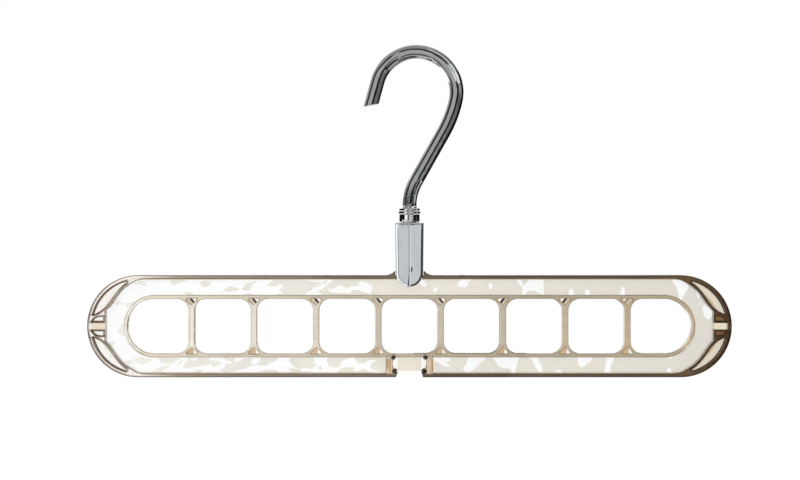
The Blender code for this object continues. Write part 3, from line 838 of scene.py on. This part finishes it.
def makeHandlingMarks():
    # Hair scratches and smudges, for the plated metal and for the moulding
    tree, given, out = newGroup("handlingMarks", [
        ("Vector", "NodeSocketVector", None),
        ("Scratch Scale", "NodeSocketFloat", 900.0),
        ("Low Roughness", "NodeSocketFloat", 0.05),
        ("High Roughness", "NodeSocketFloat", 0.12),
    ], [("Roughness", "NodeSocketFloat"), ("Height", "NodeSocketFloat")])
    smudge = noise(given["Vector"], 60.0, 3.0)
    lanes = []
    for turn, stretch in ((0.5, (1, 1, 0.05)), (-0.9, (0.06, 1, 1))):
        turned = joined("Mapping", {"Vector": given["Vector"], "Rotation": (0, turn, 0), "Scale": stretch})
        hair = noise(turned.outputs[0], given["Scratch Scale"], 2.0)
        lanes.append(step(hair, 0.66, 0.74))
    scratch = larger(*lanes)
    worn = larger(step(smudge, 0.45, 0.75), times(scratch, 0.7))
    limits = {"Value": worn, "To Min": given["Low Roughness"], "To Max": given["High Roughness"]}
    tree.links.new(joined("MapRange", limits).outputs[0], out["Roughness"])
    tree.links.new(minus(1.0, scratch), out["Height"])
    return tree


handlingMarks = makeHandlingMarks()


def marksOn(vector, look):
    group = addNode(vector.id_data, "Group", node_tree=handlingMarks)
    vector.id_data.links.new(vector, group.inputs["Vector"])
    group.inputs["Scratch Scale"].default_value = look["scratches"]
    group.inputs["Low Roughness"].default_value = look["roughness"][0]
    group.inputs["High Roughness"].default_value = look["roughness"][1]
    return group


clearPlastic = {
    # Size and edge of the web's white patches, which are painted reflections
    "reflectionPatchScale": 95.0,
    "reflectionPatchEdge": 0.012,
    "scratches": 700.0,
    "transmission": 0.88,
    "roughness": (0.03, 0.09),
    "ior": 1.49,
    # Along the hanger from the left end, 0, to the right end, 1: the plastic's own amber tones, with painted
    # shade that darkens them towards the right end
    "along": {
        # Where the painted reflection patches on the web begin, along the hanger
        "reflectionPatchLimits": {
            0.0: (170, 170, 170), 0.3: (182, 182, 182), 0.5: (198, 198, 198), 0.7: (199, 199, 199),
            1.0: (200, 200, 200),
        },
        "milky": {
            0.0: (244, 242, 236), 0.3: (233, 231, 221), 0.5: (236, 232, 222), 0.7: (233, 229, 219),
            1.0: (229, 225, 216),
        },
        "ringFace": {
            0.0: (244, 234, 216), 0.12: (238, 228, 210), 0.4: (204, 193, 171), 0.7: (185, 174, 152),
            1.0: (196, 182, 154),
        },
        "dividerFace": {
            0.0: (255, 254, 248), 0.25: (240, 236, 221), 0.355: (225, 216, 200), 0.45: (212, 201, 181),
            0.55: (206, 198, 176), 0.65: (204, 194, 170), 0.84: (200, 182, 151),
        },
        # ringEdge and rimEdge: painted shade along the rounded edges
        "ringEdge": {0.0: (158, 146, 122), 0.5: (150, 138, 112), 1.0: (132, 118, 92)},
        "rimFace": {
            0.0: (255, 254, 250), 0.08: (250, 243, 234), 0.14: (180, 162, 140), 0.2: (164, 148, 129),
            0.375: (130, 114, 98), 0.55: (108, 93, 76), 0.85: (98, 82, 66), 0.93: (112, 88, 62),
            1.0: (84, 62, 42),
        },
        "rimEdge": {0.0: (50, 32, 14), 0.12: (56, 38, 20), 0.5: (52, 38, 26), 1.0: (30, 20, 12)},
        "sideFace": {0.0: (248, 244, 238), 0.5: (236, 228, 216), 1.0: (228, 214, 194)},
        "bar": {0.0: (236, 219, 202), 1.0: (238, 228, 204)},
        "cell": {0.0: (255, 254, 250), 0.9: (158, 124, 86), 1.0: (140, 106, 70)},
        "cellLine": {0.0: (104, 84, 58), 1.0: (60, 44, 28)},
        "crescent": {0.0: (255, 254, 250), 0.9: (236, 229, 214), 1.0: (232, 224, 206)},
        "crescentFoot": {0.0: (246, 236, 222), 1.0: (206, 178, 140)},
        # outline: painted shade for the dark lines round the crescents and the cells
        "outline": {0.0: (96, 74, 52), 1.0: (66, 46, 30)},
    },
    "litEdge": (244, 236, 220),           # the dividers' edges that face left
    "rimFootShade": (1.0, (198, 180, 150)),    # width and colour of the painted shade on the web along the rim
    # Painted shade and painted highlight in the upper pockets, and amber with a painted highlight in the
    # lower ones
    "pocketStrokes": {
        0.0: (214, 200, 176), 0.24: (222, 208, 184), 0.32: (30, 20, 14), 0.5: (20, 14, 10),
        0.56: (255, 255, 252), 0.80: (255, 253, 246), 0.88: (226, 206, 172),
    },
    "lowPocket": {
        0.0: (196, 166, 130), 0.3: (216, 186, 150), 0.62: (212, 180, 142), 0.7: (255, 254, 250),
        1.0: (255, 252, 244),
    },
    "palePocket": (226, 200, 170),
    "notchFace": {0.38: (186, 156, 122), 0.47: (214, 184, 150), 0.54: (226, 196, 160), 0.6: (252, 240, 222)},
    "notchEdge": (140, 114, 82),
    "notchShadowSpots": ((8.9, -17.5, 1.3), (8.2, -25.2, 1.5)),      # place and radius of the painted shadows in the notch's corners
    # Colour of the painted shadows in the notch's corners
    "notchCornerShadow": (44, 32, 22),
    "tab": (238, 230, 216),
    "grain": {0.3: (150, 140, 130), 0.7: (255, 255, 255)},
    "cellGrain": {0.35: (120, 110, 96), 0.65: (255, 255, 250)},
    # How squarely a surface faces: from the first value the look starts, at the second it is full
    # edgeFacing picks the rounded edges that take painted shade
    "edgeFacing": (0.995, 0.96),
    "sideFacing": (0.3, 0.15),
    "leftFacing": (-0.2, -0.45),
    # The same in millimetres, counted from the holes' centre
    "notchHigh": (-17.5, -18.0),
    "tabHigh": (-17.3, -17.5),
    "tabSide": (9.8, 9.6),
    "tabBright": (6.2, 6.8),
    "leafHigh": (5.9, 6.3),
    "cellLineHigh": (3.3, 2.7),
    # The same, counted from the side or edge it is used with
    "ringLimit": (0.9, 0.7),
    "pocketLimit": (-0.1, -0.3),
    "dividerLimit": (0.0, -3.0),
    "webLimit": (0.25, 0.15),
    "leafStart": (6.2, 6.6),
    "leafDepth": (1.4, 1.2),
    "leafPale": (0.4, 0.1),
    "crescentLimit": (-5.0, -7.4),
    "cellLimit": (1.4, 1.0),
    "barLimit": (-0.2, -0.5),
    "tipLimit": (0.2, 0.5),
}


def curveThrough(value, points, reach):
    # The height of a drawn side over a place along it, both in millimetres
    made = joined("FloatCurve", {"Value": maths("DIVIDE", value, reach)})
    curve = made.mapping.curves[0]
    curve.points[0].location = (0.0, points[0][1] / reach)
    curve.points[1].location = (1.0, points[-1][1] / reach)
    for x, height in points:
        curve.points.new(x / reach, height / reach)
    made.mapping.update()
    return times(made.outputs[0], reach)


def inMillimetres(place):
    # Object coordinates counted from the centre of the holes
    perMetre = (1 / mm, 1 / mm, 1 / mm)
    moved = joined("Mapping", {"Vector": place, "Location": (0, 0, restHeight), "Scale": perMetre})
    return splitUp(moved.outputs[0])


def reachPast(sideways, high, start):
    # Distance from the centre line, and beyond start from the centre of the round end
    return lengthOf(larger(minus(sideways, start), 0.0), high)


def readPlaces(tree, look, size, at):
    # Where a point of the moulding lies, in millimetres from the holes' centre, and what it belongs to
    coordinates = addNode(tree, "TexCoord").outputs
    x, y, high = inMillimetres(coordinates["Object"])
    facing = splitUp(coordinates["Normal"])
    sideways = maths("ABSOLUTE", x)
    upright = maths("ABSOLUTE", high)
    along = maths("MULTIPLY_ADD", x, 1 / (2 * at["half"]), 0.5)      # 0 at the left end, 1 at the right
    innerSide = [(sideX - at["rimEnd"], sideZ) for sideX, sideZ in crescentSide(size, at)]
    crescentHeight = curveThrough(minus(sideways, at["rimEnd"]), innerSide, 30.0)
    below = times(minus(crescentHeight, upright), 0.72)      # square to the crescent's inner side
    leaf = stepPast(sideways, at["rimEnd"], look["leafStart"])
    leaf = times(leaf, step(upright, *look["leafHigh"]))
    return SimpleNamespace(
        object=coordinates["Object"], x=x, high=high, sideways=sideways, upright=upright, along=along,
        deep=maths("ABSOLUTE", y), forward=maths("ABSOLUTE", facing[1]), facingRight=facing[0],
        reach=reachPast(sideways, high, at["ringEnd"]), rimReach=reachPast(sideways, high, at["rimEnd"]),
        below=below, leaf=times(leaf, step(below, *look["leafDepth"])),
        tip=stepPast(sideways, at["half"] - size["endBlock"], look["tipLimit"]),
        grain=noise(stretched(coordinates["Object"], (0.25, 1, 1)), 240.0, 2.0),
        lying=stretched(coordinates["Object"], (0.8, 0.15, 1.5)),
        tones={key: ramp(along, stops) for key, stops in look["along"].items()},
    )


def paintWeb(point, look, at):
    # Painted reflections: white patches with hard edges on the milky web, many on the left and few on the
    # right
    standing = stretched(point.object, (1.5, 0.15, 0.9))
    rightwards = step(point.along, 0.45, 0.75)
    drift = times(noise(point.lying, look["reflectionPatchScale"], 1.5, 0.6), minus(1.0, rightwards))
    drop = times(noise(standing, look["reflectionPatchScale"] * 0.8, 0.5, 0.2), rightwards)
    reflectionPatch = step(minus(maths("ADD", drift, drop), point.tones["reflectionPatchLimits"]), 0.0, look["reflectionPatchEdge"])
    colour = blendColours(reflectionPatch, point.tones["milky"], shade(255, 255, 255))
    # Painted shade: a tan band on the web along the foot of the rim
    footWidth, rimShadeColour = look["rimFootShade"]
    rimShade = step(point.upright, at["rimInner"] - footWidth, at["rimInner"])
    return blendColours(rimShade, colour, shade(*rimShadeColour))


def paintCrescents(point, look, at, colour):
    inwards = stepPast(point.rimReach, at["rimHalf"], look["crescentLimit"])
    crescent = blendColours(inwards, point.tones["crescent"], point.tones["crescentFoot"])
    return blendColours(times(point.leaf, step(point.below, *look["leafPale"])), colour, crescent)


def paintRing(point, look, at, edge):
    # Ring and dividers, pale on the left and tan on the right, darker towards the right by painted shade;
    # painted shade darkens their edges, and the dividers' edges that face left get a painted highlight
    divider = stepPast(point.upright, at["holeHalf"], look["dividerLimit"])
    face = blendColours(divider, point.tones["ringFace"], point.tones["dividerFace"])
    lit = times(divider, step(point.facingRight, *look["leftFacing"]))
    return blendColours(edge, face, blendColours(lit, point.tones["ringEdge"], shade(*look["litEdge"])))


def paintRim(point, look, size, at, edge):
    # Brown, with painted shade along its edges and towards the right end, and reeded on the block beside the
    # notch
    colour = blendColours(edge, point.tones["rimFace"], point.tones["rimEdge"])
    blockHalf = size["notchBlock"] / 2
    notch = step(point.sideways, blockHalf + 0.3, blockHalf)
    notch = times(notch, step(point.high, *look["notchHigh"]))
    notch = times(notch, step(point.upright, at["rimInner"] + 0.4, at["rimInner"]))
    reeded = noise(stretched(point.object, (1, 1, 0.08)), 1300.0, 1.0)
    return blendColours(
        notch, colour, blendColours(edge, ramp(reeded, look["notchFace"]), shade(*look["notchEdge"]))
    )


def paintBar(point, look, size, at, colour):
    # The bar between the two cells at each tip
    bar = stepPast(point.upright, size["endCell"][2] / 2, look["barLimit"])
    block = at["half"] - size["endBlock"]
    bar = times(bar, between(point.sideways, block - 2, at["half"] - size["endRim"], 0.3))
    return blendColours(bar, colour, point.tones["bar"])


def paintCells(point, look, size, colour):
    # The cells at each tip, with a line of painted shade along the foot of the bar
    inside = times(point.tip, stepPast(point.upright, size["endCell"][0], look["cellLimit"]))
    nearBar = step(point.upright, *look["cellLineHigh"])
    cell = blendColours(nearBar, point.tones["cell"], point.tones["cellLine"])
    rightHalf = step(point.x, 0, 1)
    cell = blendColours(rightHalf, cell, ramp(point.grain, look["cellGrain"]), "MULTIPLY")
    return blendColours(inside, colour, cell)


def paintTab(point, look, colour):
    # The tab in the notch is plain in the middle and bright at its sides
    tab = times(step(point.sideways, *look["tabSide"]), step(point.high, *look["tabHigh"]))
    bright = step(point.sideways, *look["tabBright"])
    return blendColours(tab, colour, blendColours(bright, shade(*look["tab"]), shade(255, 255, 255)))


def paintPockets(point, look, size, at, colour):
    # Each divider's two pockets: a stroke of painted shade and a stroke of painted highlight above, amber
    # with a painted highlight below
    pitch = size["holePitch"]
    across = times(minus(maths("FRACT", times(point.x, 1 / pitch)), 0.5), pitch)
    mirrored = times(across, maths("SIGN", minus(30.0, point.x)))
    slope = maths("ADD", mirrored, times(minus(point.upright, at["holeHalf"]), 0.8))
    strokes = ramp(maths("MULTIPLY_ADD", slope, 1 / 6, 0.5), look["pocketStrokes"])
    amber = ramp(maths("MULTIPLY_ADD", across, 1 / 6, 0.5), look["lowPocket"])
    faded = times(step(point.along, 0.78, 0.86), 0.65)
    strokes = blendColours(faded, strokes, shade(*look["palePocket"]))
    pockets = blendColours(step(point.high, -1, 1), amber, strokes)
    return blendColours(stepPast(point.reach, at["ringHalf"], look["pocketLimit"]), colour, pockets)


def drawOutlines(point, look, size, at, colour):
    # Painted shade: dark lines round the crescents and the cells, and painted shadows in the notch's corners
    leafEdge = at["rimHalf"] - size["endRim"]
    leafLine = between(point.rimReach, leafEdge - 0.3, leafEdge + 0.5, 0.2)
    leafLine = times(larger(leafLine, between(point.below, -0.4, 0.5, 0.2)), point.leaf)
    radius, wall, bar = size["endCell"]
    cellReach = reachPast(point.sideways, point.high, at["half"] - wall - radius)
    cellLine = times(between(cellReach, radius - 0.3, radius + 0.4, 0.2), point.tip)
    cellLine = times(cellLine, step(point.upright, bar / 2 - 0.2, bar / 2))
    colour = blendColours(larger(leafLine, cellLine), colour, point.tones["outline"])
    for spotX, spotHigh, spotRadius in look["notchShadowSpots"]:
        away = lengthOf(minus(point.sideways, spotX), minus(point.high, spotHigh))
        cornerShadow = step(away, spotRadius + 0.3, spotRadius - 0.3)
        colour = blendColours(cornerShadow, colour, shade(*look["notchCornerShadow"]))
    return colour


def makeClearPlastic(look, size):
    made, tree, shader = newMaterial("teaClearPlastic")
    at = bodyPlaces(size)
    point = readPlaces(tree, look, size, at)
    # The rounded edges, which get painted shade
    edge = step(point.forward, *look["edgeFacing"])
    side = step(point.forward, *look["sideFacing"])
    ring = stepPast(point.reach, at["ringHalf"], look["ringLimit"])
    thick = blendColours(ring, paintRim(point, look, size, at, edge), paintRing(point, look, at, edge))
    thick = blendColours(side, thick, point.tones["sideFace"])
    thick = blendColours(0.22, thick, ramp(point.grain, look["grain"]), "MULTIPLY")
    thick = paintBar(point, look, size, at, thick)
    thin = paintCrescents(point, look, at, paintWeb(point, look, at))
    thin = paintCells(point, look, size, thin)
    thin = paintTab(point, look, thin)
    thin = paintPockets(point, look, size, at, thin)
    web = stepPast(point.deep, size["webDepth"] / 2, look["webLimit"])
    colour = drawOutlines(point, look, size, at, blendColours(web, thick, thin))
    marks = marksOn(point.object, look)
    ripple = bump(noise(point.lying, 90.0, 1.0), 0.35, 0.0004)
    tree.links.new(colour, shader.inputs["Base Color"])
    tree.links.new(marks.outputs["Roughness"], shader.inputs["Roughness"])
    tree.links.new(bump(marks.outputs["Height"], 0.05, 0.0001, ripple), shader.inputs["Normal"])
    shader.inputs["Transmission Weight"].default_value = look["transmission"]
    shader.inputs["IOR"].default_value = look["ior"]
    return made


platedMetal = {
    "sheath": {
        "colour": (242, 246, 248), "roughness": (0.05, 0.10), "scratches": 800.0, "waves": 0.10,
        "pressMark": (0.85, 32.0, 0.9, 1.9, 0.55),     # place, half width, half height and depth
        "tongueLine": (29.0, 0.13, 0.42),              # the painted dark reflection: its top, sideways per height, half width
        "seamReflectionTint": (92, 94, 118),
    },
    "wire": {
        "colour": (194, 196, 196), "roughness": (0.05, 0.11), "scratches": 900.0, "waves": 0.45,
        "mottled": (79.0, 73.0),                       # the height it starts at, and where it is full
        "fleck": {0.4: (140, 152, 144), 0.6: (255, 255, 255)},
    },
    "turned": {"colour": (226, 227, 226), "roughness": (0.04, 0.10), "scratches": 1200.0, "waves": 0.03},
    "inner": {"colour": (176, 174, 168), "roughness": (0.22, 0.40), "scratches": 600.0, "waves": 0.30},
}


def addMottling(place, look, tint):
    # Grey-green blotches on the wire down to its foot
    fleck = ramp(noise(place, 1100.0, 2.0), look["fleck"])
    blotched = blendColours(1.0, tint, fleck, "MULTIPLY")
    high = inMillimetres(place)[2]
    return blendColours(step(high, *look["mottled"]), tint, blotched)


def addPressMark(place, look, tint, normal):
    # The tool's mark near the foot of the sheath, and a painted dark reflection along the lower end of its
    # seam
    x, _, high = inMillimetres(place)
    markX, markHigh, halfWidth, halfHeight, depth = look["pressMark"]
    markAcross = maths("DIVIDE", minus(x, markX), halfWidth)
    markUp = maths("DIVIDE", minus(high, markHigh), halfHeight)
    raised = step(lengthOf(markAcross, markUp), 1.0, 0.0)
    lineHigh, drift, halfLine = look["tongueLine"]
    below = minus(lineHigh, high)
    fromLine = maths("ABSOLUTE", maths("MULTIPLY_ADD", below, drift, x))
    seamReflection = times(step(below, 0.0, 1.5), step(fromLine, halfLine, halfLine * 0.4))
    tint = blendColours(seamReflection, tint, shade(*look["seamReflectionTint"]))
    return tint, bump(raised, 1.0, depth * mm, normal)


def makePlatedMetal(name, look, turned=False):
    made, tree, shader = newMaterial(name)
    place = addNode(tree, "TexCoord").outputs["Object"]
    marks = marksOn(place, look)
    red, green, blue = look["colour"]
    tone = noise(place, 130.0, 2.0)
    tint = ramp(tone, {0.3: (red - 12, green - 11, blue - 9), 0.7: (red, green, blue)})
    normal = bump(noise(place, 110.0, 1.0), look["waves"], 0.0004)
    normal = bump(marks.outputs["Height"], 0.02, 0.0001, normal)
    if turned:
        rings = maths("SINE", times(splitUp(place)[2], 28000.0))
        normal = bump(rings, 0.02, 0.00005, normal)
    if "mottled" in look:
        tint = addMottling(place, look, tint)
    if "pressMark" in look:
        tint, normal = addPressMark(place, look, tint, normal)
    tree.links.new(tint, shader.inputs["Base Color"])
    tree.links.new(marks.outputs["Roughness"], shader.inputs["Roughness"])
    tree.links.new(normal, shader.inputs["Normal"])
    shader.inputs["Metallic"].default_value = 1.0
    return made


def dress(piece, material):
    piece.data.materials.clear()
    piece.data.materials.append(material)


dress(hangerMoulding, makeClearPlastic(clearPlastic, hangerBody))
dress(sheathPiece, makePlatedMetal("brightSheathPlate", platedMetal["sheath"]))
dress(hookPiece, makePlatedMetal("brightWirePlate", platedMetal["wire"]))
turnedPlate = makePlatedMetal("turnedPlate", platedMetal["turned"], turned=True)
for piece, rider in turnedPieces.values():
    dress(piece, turnedPlate)
dullPlate = makePlatedMetal("dullInnerPlate", platedMetal["inner"], turned=True)
for slot in frame["nodes"]["retaining_washer"].material_slots:
    slot.link = "OBJECT"
    slot.material = dullPlate
print("materials ready")


studio = {
    "floorHeight": -0.5,
    "floorFade": (0.7, 1.7),              # from here to here the floor turns as white as what lies behind it
    "floorTones": {0.3: (236, 236, 236), 0.7: (244, 244, 244)},
    "worldLight": 0.95,
    "keyLamp": ((-0.8, -1.1, 0.7), 0.9, 9.0),       # place, size and power
    "fillLamp": ((0.9, -1.2, 0.2), 0.9, 5.0),
    "lampTarget": (0, 0, -0.1),
    "camera": (-0.0053, -1.3, -0.10097),
    "lens": 104.45,
    # Cards that only reflections see: centre, width, height, turn about Z and grey
    "cards": {
        "sheathFace": ((0.0, -0.03, -0.109), 0.0254, 0.038, 0, 0.62),
        "sheathLeft": ((-0.03, -0.0143, -0.1085), 0.0237, 0.037, 90, 1.3),
        "sheathLeftLine": ((-0.03, -0.07, -0.1085), 0.083, 0.037, 90, 0.31),
        "sheathLeftEdge": ((-0.03, 0.032, -0.1085), 0.056, 0.037, 90, 0.03),
        "sheathRight": ((0.03, 0.0076, -0.1085), 0.105, 0.037, 90, 0.05),
        "sheathRightLine": ((0.03, -0.08, -0.1085), 0.04, 0.037, 90, 0.85),
        "sheathRightSide": ((0.0295, 0.0, -0.1085), 0.010, 0.037, 90, 0.1),
        "barrelLeft": ((-0.03, 0.0179, -0.08635), 0.0842, 0.0097, 90, 0.01),
        "barrelLeftLight": ((-0.03, -0.04725, -0.08635), 0.0461, 0.0097, 90, 1.3),
        "barrelLine": ((-0.01, -0.0515, -0.08635), 0.045, 0.0097, 90, 0.03),
        "barrelLight": ((0.0144, -0.05, -0.08635), 0.0418, 0.0097, 0, 0.66),
        "barrelRight": ((0.03, -0.0206, -0.08635), 0.0271, 0.0097, 90, 0.01),
        "barrelRightEdge": ((0.03, 0.0285, -0.08635), 0.0631, 0.0097, 90, 0.01),
        "shankFace": ((-0.026, -0.03, -0.077), 0.052, 0.009, 0, 0.34),
        "shankStreak": ((0.03, -0.004, -0.0822), 0.016, 0.003, 90, 1.2),
    },
    # Bands on spheres round the hook's eye: radius, grey, and at some angles round the view axis, counted
    # from the right upwards, the nearest and the furthest angle from that axis
    "bandCentre": (-0.03, 3.6),           # height, and upward tilt because the camera looks up at the eye
    "footCentre": (-0.1196, 0.0),         # the same for the round foot of the sheath
    "footBands": {
        "footLeft": (0.08, 1.3, [(183, 48, 91), (264, 48, 91)]),
        "footLeftLine": (0.08, 0.31, [(183, 18, 46), (264, 18, 46)]),
        "footRight": (0.08, 0.04, [(-86, 33, 150), (-3, 33, 178)]),
    },
    "bands": {
        "frontRing": (3.6, 0.65, [(0, 0, 50), (360, 0, 50)]),
        "sideRing": (3.6, 0.45, [(0, 50, 100), (360, 50, 100)]),
        "backRing": (3.6, 0.60, [(0, 100, 125), (360, 100, 125)]),
        "slantLeftFace": (3.3, 0.62, [(149, 0, 64), (168, 0, 64)]),
        "slantLeftBack": (3.2, 0.70, [(149, 106, 128), (168, 106, 128)]),
        "slantRightFace": (3.2, 0.44, [(-60, 0, 12), (-40, 0, 45), (-32, 0, 90), (-28, 0, 90)]),
        "crookRightFace": (3.2, 0.26, [(-28, 0, 90), (-12, 0, 90)]),
        "leftSide": (3.3, 0.42, [(148, 87, 115), (195, 87, 115)]),
        "leftBack": (3.3, 0.62, [(148, 115, 140), (195, 115, 140)]),
        "under": (3.3, 0.62, [(235, 57, 110), (300, 57, 110)]),
        "underRight": (3.3, 0.58, [(305, 60, 125), (325, 60, 125)]),
        "underRightEdge": (3.2, 0.14, [(290, 150, 178), (305, 125, 178), (327, 122, 178)]),
        "rightDim": (3.2, 0.15, [(-12, 40, 85), (2, 45, 60)]),
        "window": (3.1, 1.5, [(11, 40, 40), (14, 5, 75), (28, 6, 75)]),
        "windowTop": (3.1, 1.15, [(28, 6, 75), (40, 8, 75), (44, 40, 40)]),
        "windowBar": (3.0, 0.5, [(12, 26, 38), (42, 26, 38)]),
        "topRight": (3.1, 0.75, [(44, 42, 80), (75, 48, 76)]),
        "leftWindow": (3.1, 2.0, [(190, 100, 175), (222, 100, 175)]),
        "leftLine": (2.8, 0.03, [
            (149, 59, 87), (166, 57, 87), (176, 55, 85), (186, 54, 81), (196, 57, 75), (206, 66, 66),
        ]),
        "lowLine": (2.8, 0.10, [
            (222, 59, 59), (229, 48, 70), (244, 41, 64), (259, 36, 59), (275, 29, 52), (290, 31, 53),
            (300, 44, 44),
        ]),
        "lowRightLine": (2.8, 0.02, [(296, 44, 44), (305, 31, 57), (320, 30, 60), (328, 31, 61)]),
        "rightLine": (2.8, 0.02, [
            (-60, 4, 6), (-46, 3, 12), (-38, 2, 22), (-33, 2, 31), (-23, 1, 31), (-13, 3, 37), (3, 3, 42),
            (10, 4, 40), (15, 20, 20),
        ]),
        "topRightLine": (2.8, 0.03, [
            (40, 25, 25), (42, 9, 40), (49, 10, 41), (64, 15, 44), (79, 21, 49), (95, 29, 51), (110, 34, 56),
            (114, 45, 45),
        ]),
        "topLeftLine": (2.8, 0.02, [(118, 48, 48), (125, 38, 63), (137, 37, 62), (149, 59, 87)]),
        "rightEdge": (2.8, 0.01, [
            (-35, 78, 178), (-12, 82, 178), (3, 88, 178), (18, 84, 170), (34, 88, 140),
        ]),
        "topEdge": (2.8, 0.10, [(34, 90, 126), (49, 84, 118), (64, 81, 98), (72, 88, 88)]),
    },
}


def seenRays(tree):
    # 1 where the camera sees a surface, by itself or in metal or glass
    path = addNode(tree, "LightPath").outputs
    seen = larger(path["Is Camera Ray"], path["Is Glossy Ray"])
    return larger(seen, path["Is Transmission Ray"])


def glowing(tree, strength):
    return addNode(tree, "Emission", {"Color": (1, 1, 1, 1), "Strength": strength}).outputs[0]


def makeWorld(look):
    world = bpy.data.worlds.new("paleStudio")
    scene.world = world
    tree = emptyTree(world)
    limits = {"Value": seenRays(tree), "To Min": look["worldLight"], "To Max": 1.0}
    strength = joined("MapRange", limits).outputs[0]
    background = joined("Background", {"Color": (1, 1, 1, 1), "Strength": strength})
    joined("OutputWorld", {0: background.outputs[0]})


def makeFloor(look):
    bm = bmesh.new()
    bmesh.ops.create_grid(bm, x_segments=1, y_segments=1, size=2.0)
    bmesh.ops.translate(bm, vec=(0, 0, look["floorHeight"]), verts=bm.verts[:])
    floor = meshObject("studioFloor", bm)
    made, tree, shader = newMaterial("paleFloor")
    place = addNode(tree, "TexCoord").outputs["Object"]
    speckled = ramp(noise(place, 300.0, 2.0), look["floorTones"])
    tree.links.new(speckled, shader.inputs["Base Color"])
    shader.inputs["Roughness"].default_value = 0.8
    measure = {0: place, 1: (0, 0, look["floorHeight"])}
    away = joined("VectorMath", measure, operation="DISTANCE").outputs["Value"]
    faded = times(step(away, *look["floorFade"]), seenRays(tree))
    mixed = joined("MixShader", {0: faded, 1: shader.outputs[0], 2: glowing(tree, 1.0)})
    tree.links.new(mixed.outputs[0], tree.nodes["Material Output"].inputs[0])
    dress(floor, made)
    floor.visible_glossy = False


def onlyReflected(card, grey):
    made = bpy.data.materials.new(card.name)
    tree = emptyTree(made)
    joined("OutputMaterial", {0: glowing(tree, grey)})
    dress(card, made)
    card.visible_camera = False
    card.visible_shadow = False
    card.visible_diffuse = False
    card.visible_transmission = False


def makeCard(name, centre, width, height, turn, grey):
    bm = bmesh.new()
    bmesh.ops.create_grid(bm, x_segments=1, y_segments=1, size=0.5)
    bmesh.ops.scale(bm, vec=(width, height, 1), verts=bm.verts[:])
    turned = Matrix.Rotation(math.radians(turn), 3, "Z") @ Matrix.Rotation(math.radians(90), 3, "X")
    bmesh.ops.rotate(bm, cent=(0, 0, 0), matrix=turned, verts=bm.verts[:])
    bmesh.ops.translate(bm, vec=centre, verts=bm.verts[:])
    onlyReflected(meshObject(name, bm), grey)


def keyed(keys, share):
    # The values part of the way from the first key to the last
    place = share * (len(keys) - 1)
    i = min(int(place), len(keys) - 2)
    return [a + (b - a) * (place - i) for a, b in zip(keys[i], keys[i + 1])]


def makeBand(name, centre, radius, grey, keys):
    bm = bmesh.new()
    bmesh.ops.create_grid(bm, x_segments=60, y_segments=8, size=0.5)
    height, tilt = centre
    for vert in bm.verts:
        turn, near, far = (math.radians(v) for v in keyed(keys, vert.co.x + 0.5))
        away = near + (far - near) * (vert.co.y + 0.5)
        wide = radius * math.sin(away)
        vert.co = (wide * math.cos(turn), -radius * math.cos(away), height + wide * math.sin(turn))
    tipped = Matrix.Rotation(math.radians(-tilt), 3, "X")
    bmesh.ops.rotate(bm, cent=(0, 0, height), matrix=tipped, verts=bm.verts[:])
    onlyReflected(meshObject(name, bm), grey)


def makeLamp(name, target, place, size, power):
    data = bpy.data.lights.new(name, "AREA")
    data.shape = "DISK"
    data.size = size
    data.energy = power
    lamp = bpy.data.objects.new(name, data)
    scene.collection.objects.link(lamp)
    lamp.location = place
    aim = Vector(target) - Vector(place)
    lamp.rotation_euler = aim.to_track_quat("-Z", "Y").to_euler()
    lamp.visible_glossy = False


def makeCamera(look):
    data = bpy.data.cameras.new("photoCamera")
    data.lens = look["lens"]
    camera = bpy.data.objects.new("photoCamera", data)
    scene.collection.objects.link(camera)
    camera.location = look["camera"]
    camera.rotation_euler = (math.radians(90), 0, 0)
    scene.camera = camera


makeWorld(studio)
makeFloor(studio)
for name, values in studio["cards"].items():
    makeCard(name, *values)
for name, values in studio["footBands"].items():
    makeBand(name, studio["footCentre"], *values)
for name, values in studio["bands"].items():
    makeBand(name, studio["bandCentre"], *values)
for name in ("keyLamp", "fillLamp"):
    makeLamp(name, studio["lampTarget"], *studio[name])
makeCamera(studio)
scene.view_settings.view_transform = "Standard"
print("stage ready")
